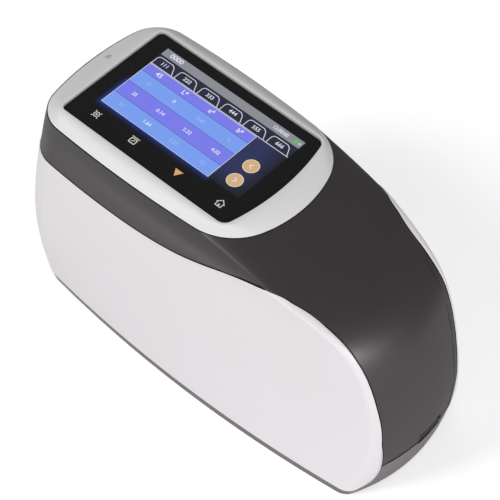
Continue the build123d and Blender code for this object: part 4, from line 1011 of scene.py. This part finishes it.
BORDER = border_finish()
outline = glass_outline(PRINT_INSET)
loops = [outline] + on_screen(across(*SCREEN_Y))
plate("border_print", loops, LCD_TOP + LAYER * PRINT_LEVEL, BORDER)
print("border print follows", len(outline), "points")

# %% [markdown]
# ## Touch keys
# Four marks are printed on the glass below the picture: a target, a sheet going into a
# printer, a gold triangle and a house. They are plain pictograms drawn with strokes.
# Like the black frame they are printed on the back of the glass, just above it.

# %% Ink on the glass
def ink(name, colour, colour_dull):
    finish = Finish(name, Roughness=0.35)
    dust = finish.grain(0.35, detail=3.0)
    finish.set("Base Color", finish.mix(dust, colour, colour_dull))
    finish.set("Emission Color", finish.mix(dust, colour, colour_dull))
    # The ink also glows faintly: painted light that makes it brighter than the lamps alone would.
    finish.set("Emission Strength", 0.35)
    finish.bump(dust, 0.005)
    return finish.material


INK_WHITE = ink("ink_white", srgb(225, 220, 212), srgb(190, 186, 180))
INK_GOLD = ink("ink_gold", srgb(226, 178, 122), srgb(204, 156, 104))
KEY_Y = -20.7
KEY_X = (-59.0, -39.7, -17.0, 4.6)
KEY_LINE = 0.36


def mark(name, loops, finish):
    return plate(name, on_screen(loops), LCD_TOP + LAYER * KEY_LEVEL, finish)


def moved(points, x):
    return [(px + x, py + KEY_Y) for px, py in points]


def mark_line(name, points, x):
    mark(name, [stroke(moved(points, x), KEY_LINE)], INK_WHITE)


kx = KEY_X[0]
mark("key_target_ring", [circle(kx, KEY_Y, 1.35), circle(kx, KEY_Y, 0.95)], INK_WHITE)
mark("key_target_dot", [circle(kx, KEY_Y, 0.45)], INK_WHITE)
for i in range(4):
    angle = math.radians(45 + 90 * i)
    ray = [(r * math.cos(angle), r * math.sin(angle)) for r in (1.5, 2.2)]
    mark_line(f"key_target_ray_{i + 1}", ray, kx)
kx = KEY_X[1]
mark("key_sheet_frame", [rounded(kx - 1.6, KEY_Y - 1.5, kx + 1.6, KEY_Y + 1.2, 0.5),
                         rounded(kx - 1.2, KEY_Y - 1.1, kx + 1.2, KEY_Y + 0.8, 0.3)], INK_WHITE)
mark_line("key_sheet_bar", [(-1.9, 1.7), (1.9, 1.7)], kx)
mark_line("key_sheet_tick", [(-0.6, -0.6), (0.6, 0.4)], kx)
mark("key_triangle", [moved([(-1.9, 1.2), (0.1, -2.0), (2.0, 1.2)], KEY_X[2])], INK_GOLD)
kx = KEY_X[3]
mark_line("key_house_roof", [(-1.9, 0.0), (0.0, 1.8), (1.9, 0.0)], kx)
mark_line("key_house_walls", [(-1.3, 0.3), (-1.3, -1.5), (1.3, -1.5), (1.3, 0.3)], kx)
mark("key_house_door", [rectangle(kx - 0.35, KEY_Y - 1.4, kx + 0.35, KEY_Y - 0.3)], INK_WHITE)
print("touch keys:", len(KEY_X))

# %% [markdown]
# The panel of the display itself lies under the plates. Its dead border is dark, and it
# gets the same deep navy as an unlit screen.

# %% Display panel
nodes["lcd_panel"].data.materials.clear()
nodes["lcd_panel"].data.materials.append(NAVY_DEEP)
print("display panel:", NAVY_DEEP.name)

# %% [markdown]
# ## Floor, backdrop and light
# The photograph has a pure white ground with a faint soft shadow. The floor is a plain
# white sheet, and for rays that come straight from the camera it adds a little light of
# its own, so that it reaches white without the lamps being turned up.

# %% Floor and world
def add_nodes(tree, *kinds):
    return [tree.nodes.new("ShaderNode" + kind) for kind in kinds]


def connect(tree, *pairs):
    for start, end in pairs:
        tree.links.new(start, end)


def floor_material():
    material = bpy.data.materials.new("floor_white")
    material.use_nodes = True
    tree = material.node_tree
    tree.nodes.clear()
    out, matt, glow = add_nodes(tree, "OutputMaterial", "BsdfDiffuse", "Emission")
    path, seen, both = add_nodes(tree, "LightPath", "Math", "AddShader")
    matt.inputs["Color"].default_value = FLOOR_WHITE
    seen.operation = "MULTIPLY"
    seen.inputs[1].default_value = FLOOR_GLOW
    connect(tree, (path.outputs["Is Camera Ray"], seen.inputs[0]),
            (seen.outputs[0], glow.inputs["Strength"]), (matt.outputs[0], both.inputs[0]),
            (glow.outputs[0], both.inputs[1]), (both.outputs[0], out.inputs["Surface"]))
    return material


FLOOR_WHITE = (0.86, 0.86, 0.86, 1.0)
FLOOR_GLOW = 0.41
FLOOR_HALF = 3.0
floor_mesh = bpy.data.meshes.new("floor")
square = rectangle(-FLOOR_HALF, -FLOOR_HALF, FLOOR_HALF, FLOOR_HALF)
corners = [(x, y, 0.0) for x, y in square]
floor_mesh.from_pydata(corners, [], [(0, 1, 2, 3)])
floor_mesh.materials.append(floor_material())
floor = bpy.data.objects.new("floor", floor_mesh)
bpy.context.scene.collection.objects.link(floor)

WORLD_LEVEL = 0.34
world = bpy.data.worlds.new("studio")
world.use_nodes = True
bpy.context.scene.world = world
sky = world.node_tree
ground = sky.nodes["Background"]
ground.inputs["Color"].default_value = (1.0, 1.0, 1.0, 1.0)
ground.inputs["Strength"].default_value = WORLD_LEVEL
white, choose, rays = add_nodes(sky, "Background", "MixShader", "LightPath")
white.inputs["Strength"].default_value = 1.0
connect(sky, (rays.outputs["Is Camera Ray"], choose.inputs[0]),
        (ground.outputs[0], choose.inputs[1]), (white.outputs[0], choose.inputs[2]),
        (choose.outputs[0], sky.nodes["World Output"].inputs["Surface"]))
print("floor glows by", FLOOR_GLOW, "for the camera")

# %% [markdown]
# Two soft boxes light the set, as in a product studio. The key stands on the near side,
# half way up: it whitens the near cover and is mirrored along the crease beside the
# bezel. The other stands low off the sloping end, and its reflection is the soft patch
# on the shoulder of the spine. Nothing bright hangs over the far side, because the
# spine and the glass mirror that part of the room and are nearly black there.

# %% Soft boxes
def softbox(name, place, aim, size, power, colour=(1.0, 1.0, 1.0)):
    lamp = bpy.data.lights.new(name, "AREA")
    lamp.shape = "RECTANGLE"
    lamp.size, lamp.size_y = size
    lamp.energy = power
    lamp.color = colour
    holder = bpy.data.objects.new(name, lamp)
    holder.location = place
    direction = Vector(aim) - Vector(place)
    holder.rotation_euler = direction.to_track_quat("-Z", "Y").to_euler()
    bpy.context.scene.collection.objects.link(holder)


softbox("key_near", place=(-0.45, -0.80, 0.85), aim=(0.0, 0.0, 0.05),
        size=(0.45, 0.45), power=8.0)
softbox("right_end", place=(0.95, -0.22, 0.40), aim=(0.05, 0.0, 0.05),
        size=(0.3, 0.3), power=6.0, colour=(1.0, 0.97, 0.99))
bpy.context.scene.view_settings.view_transform = "Standard"
print("soft boxes: 2")
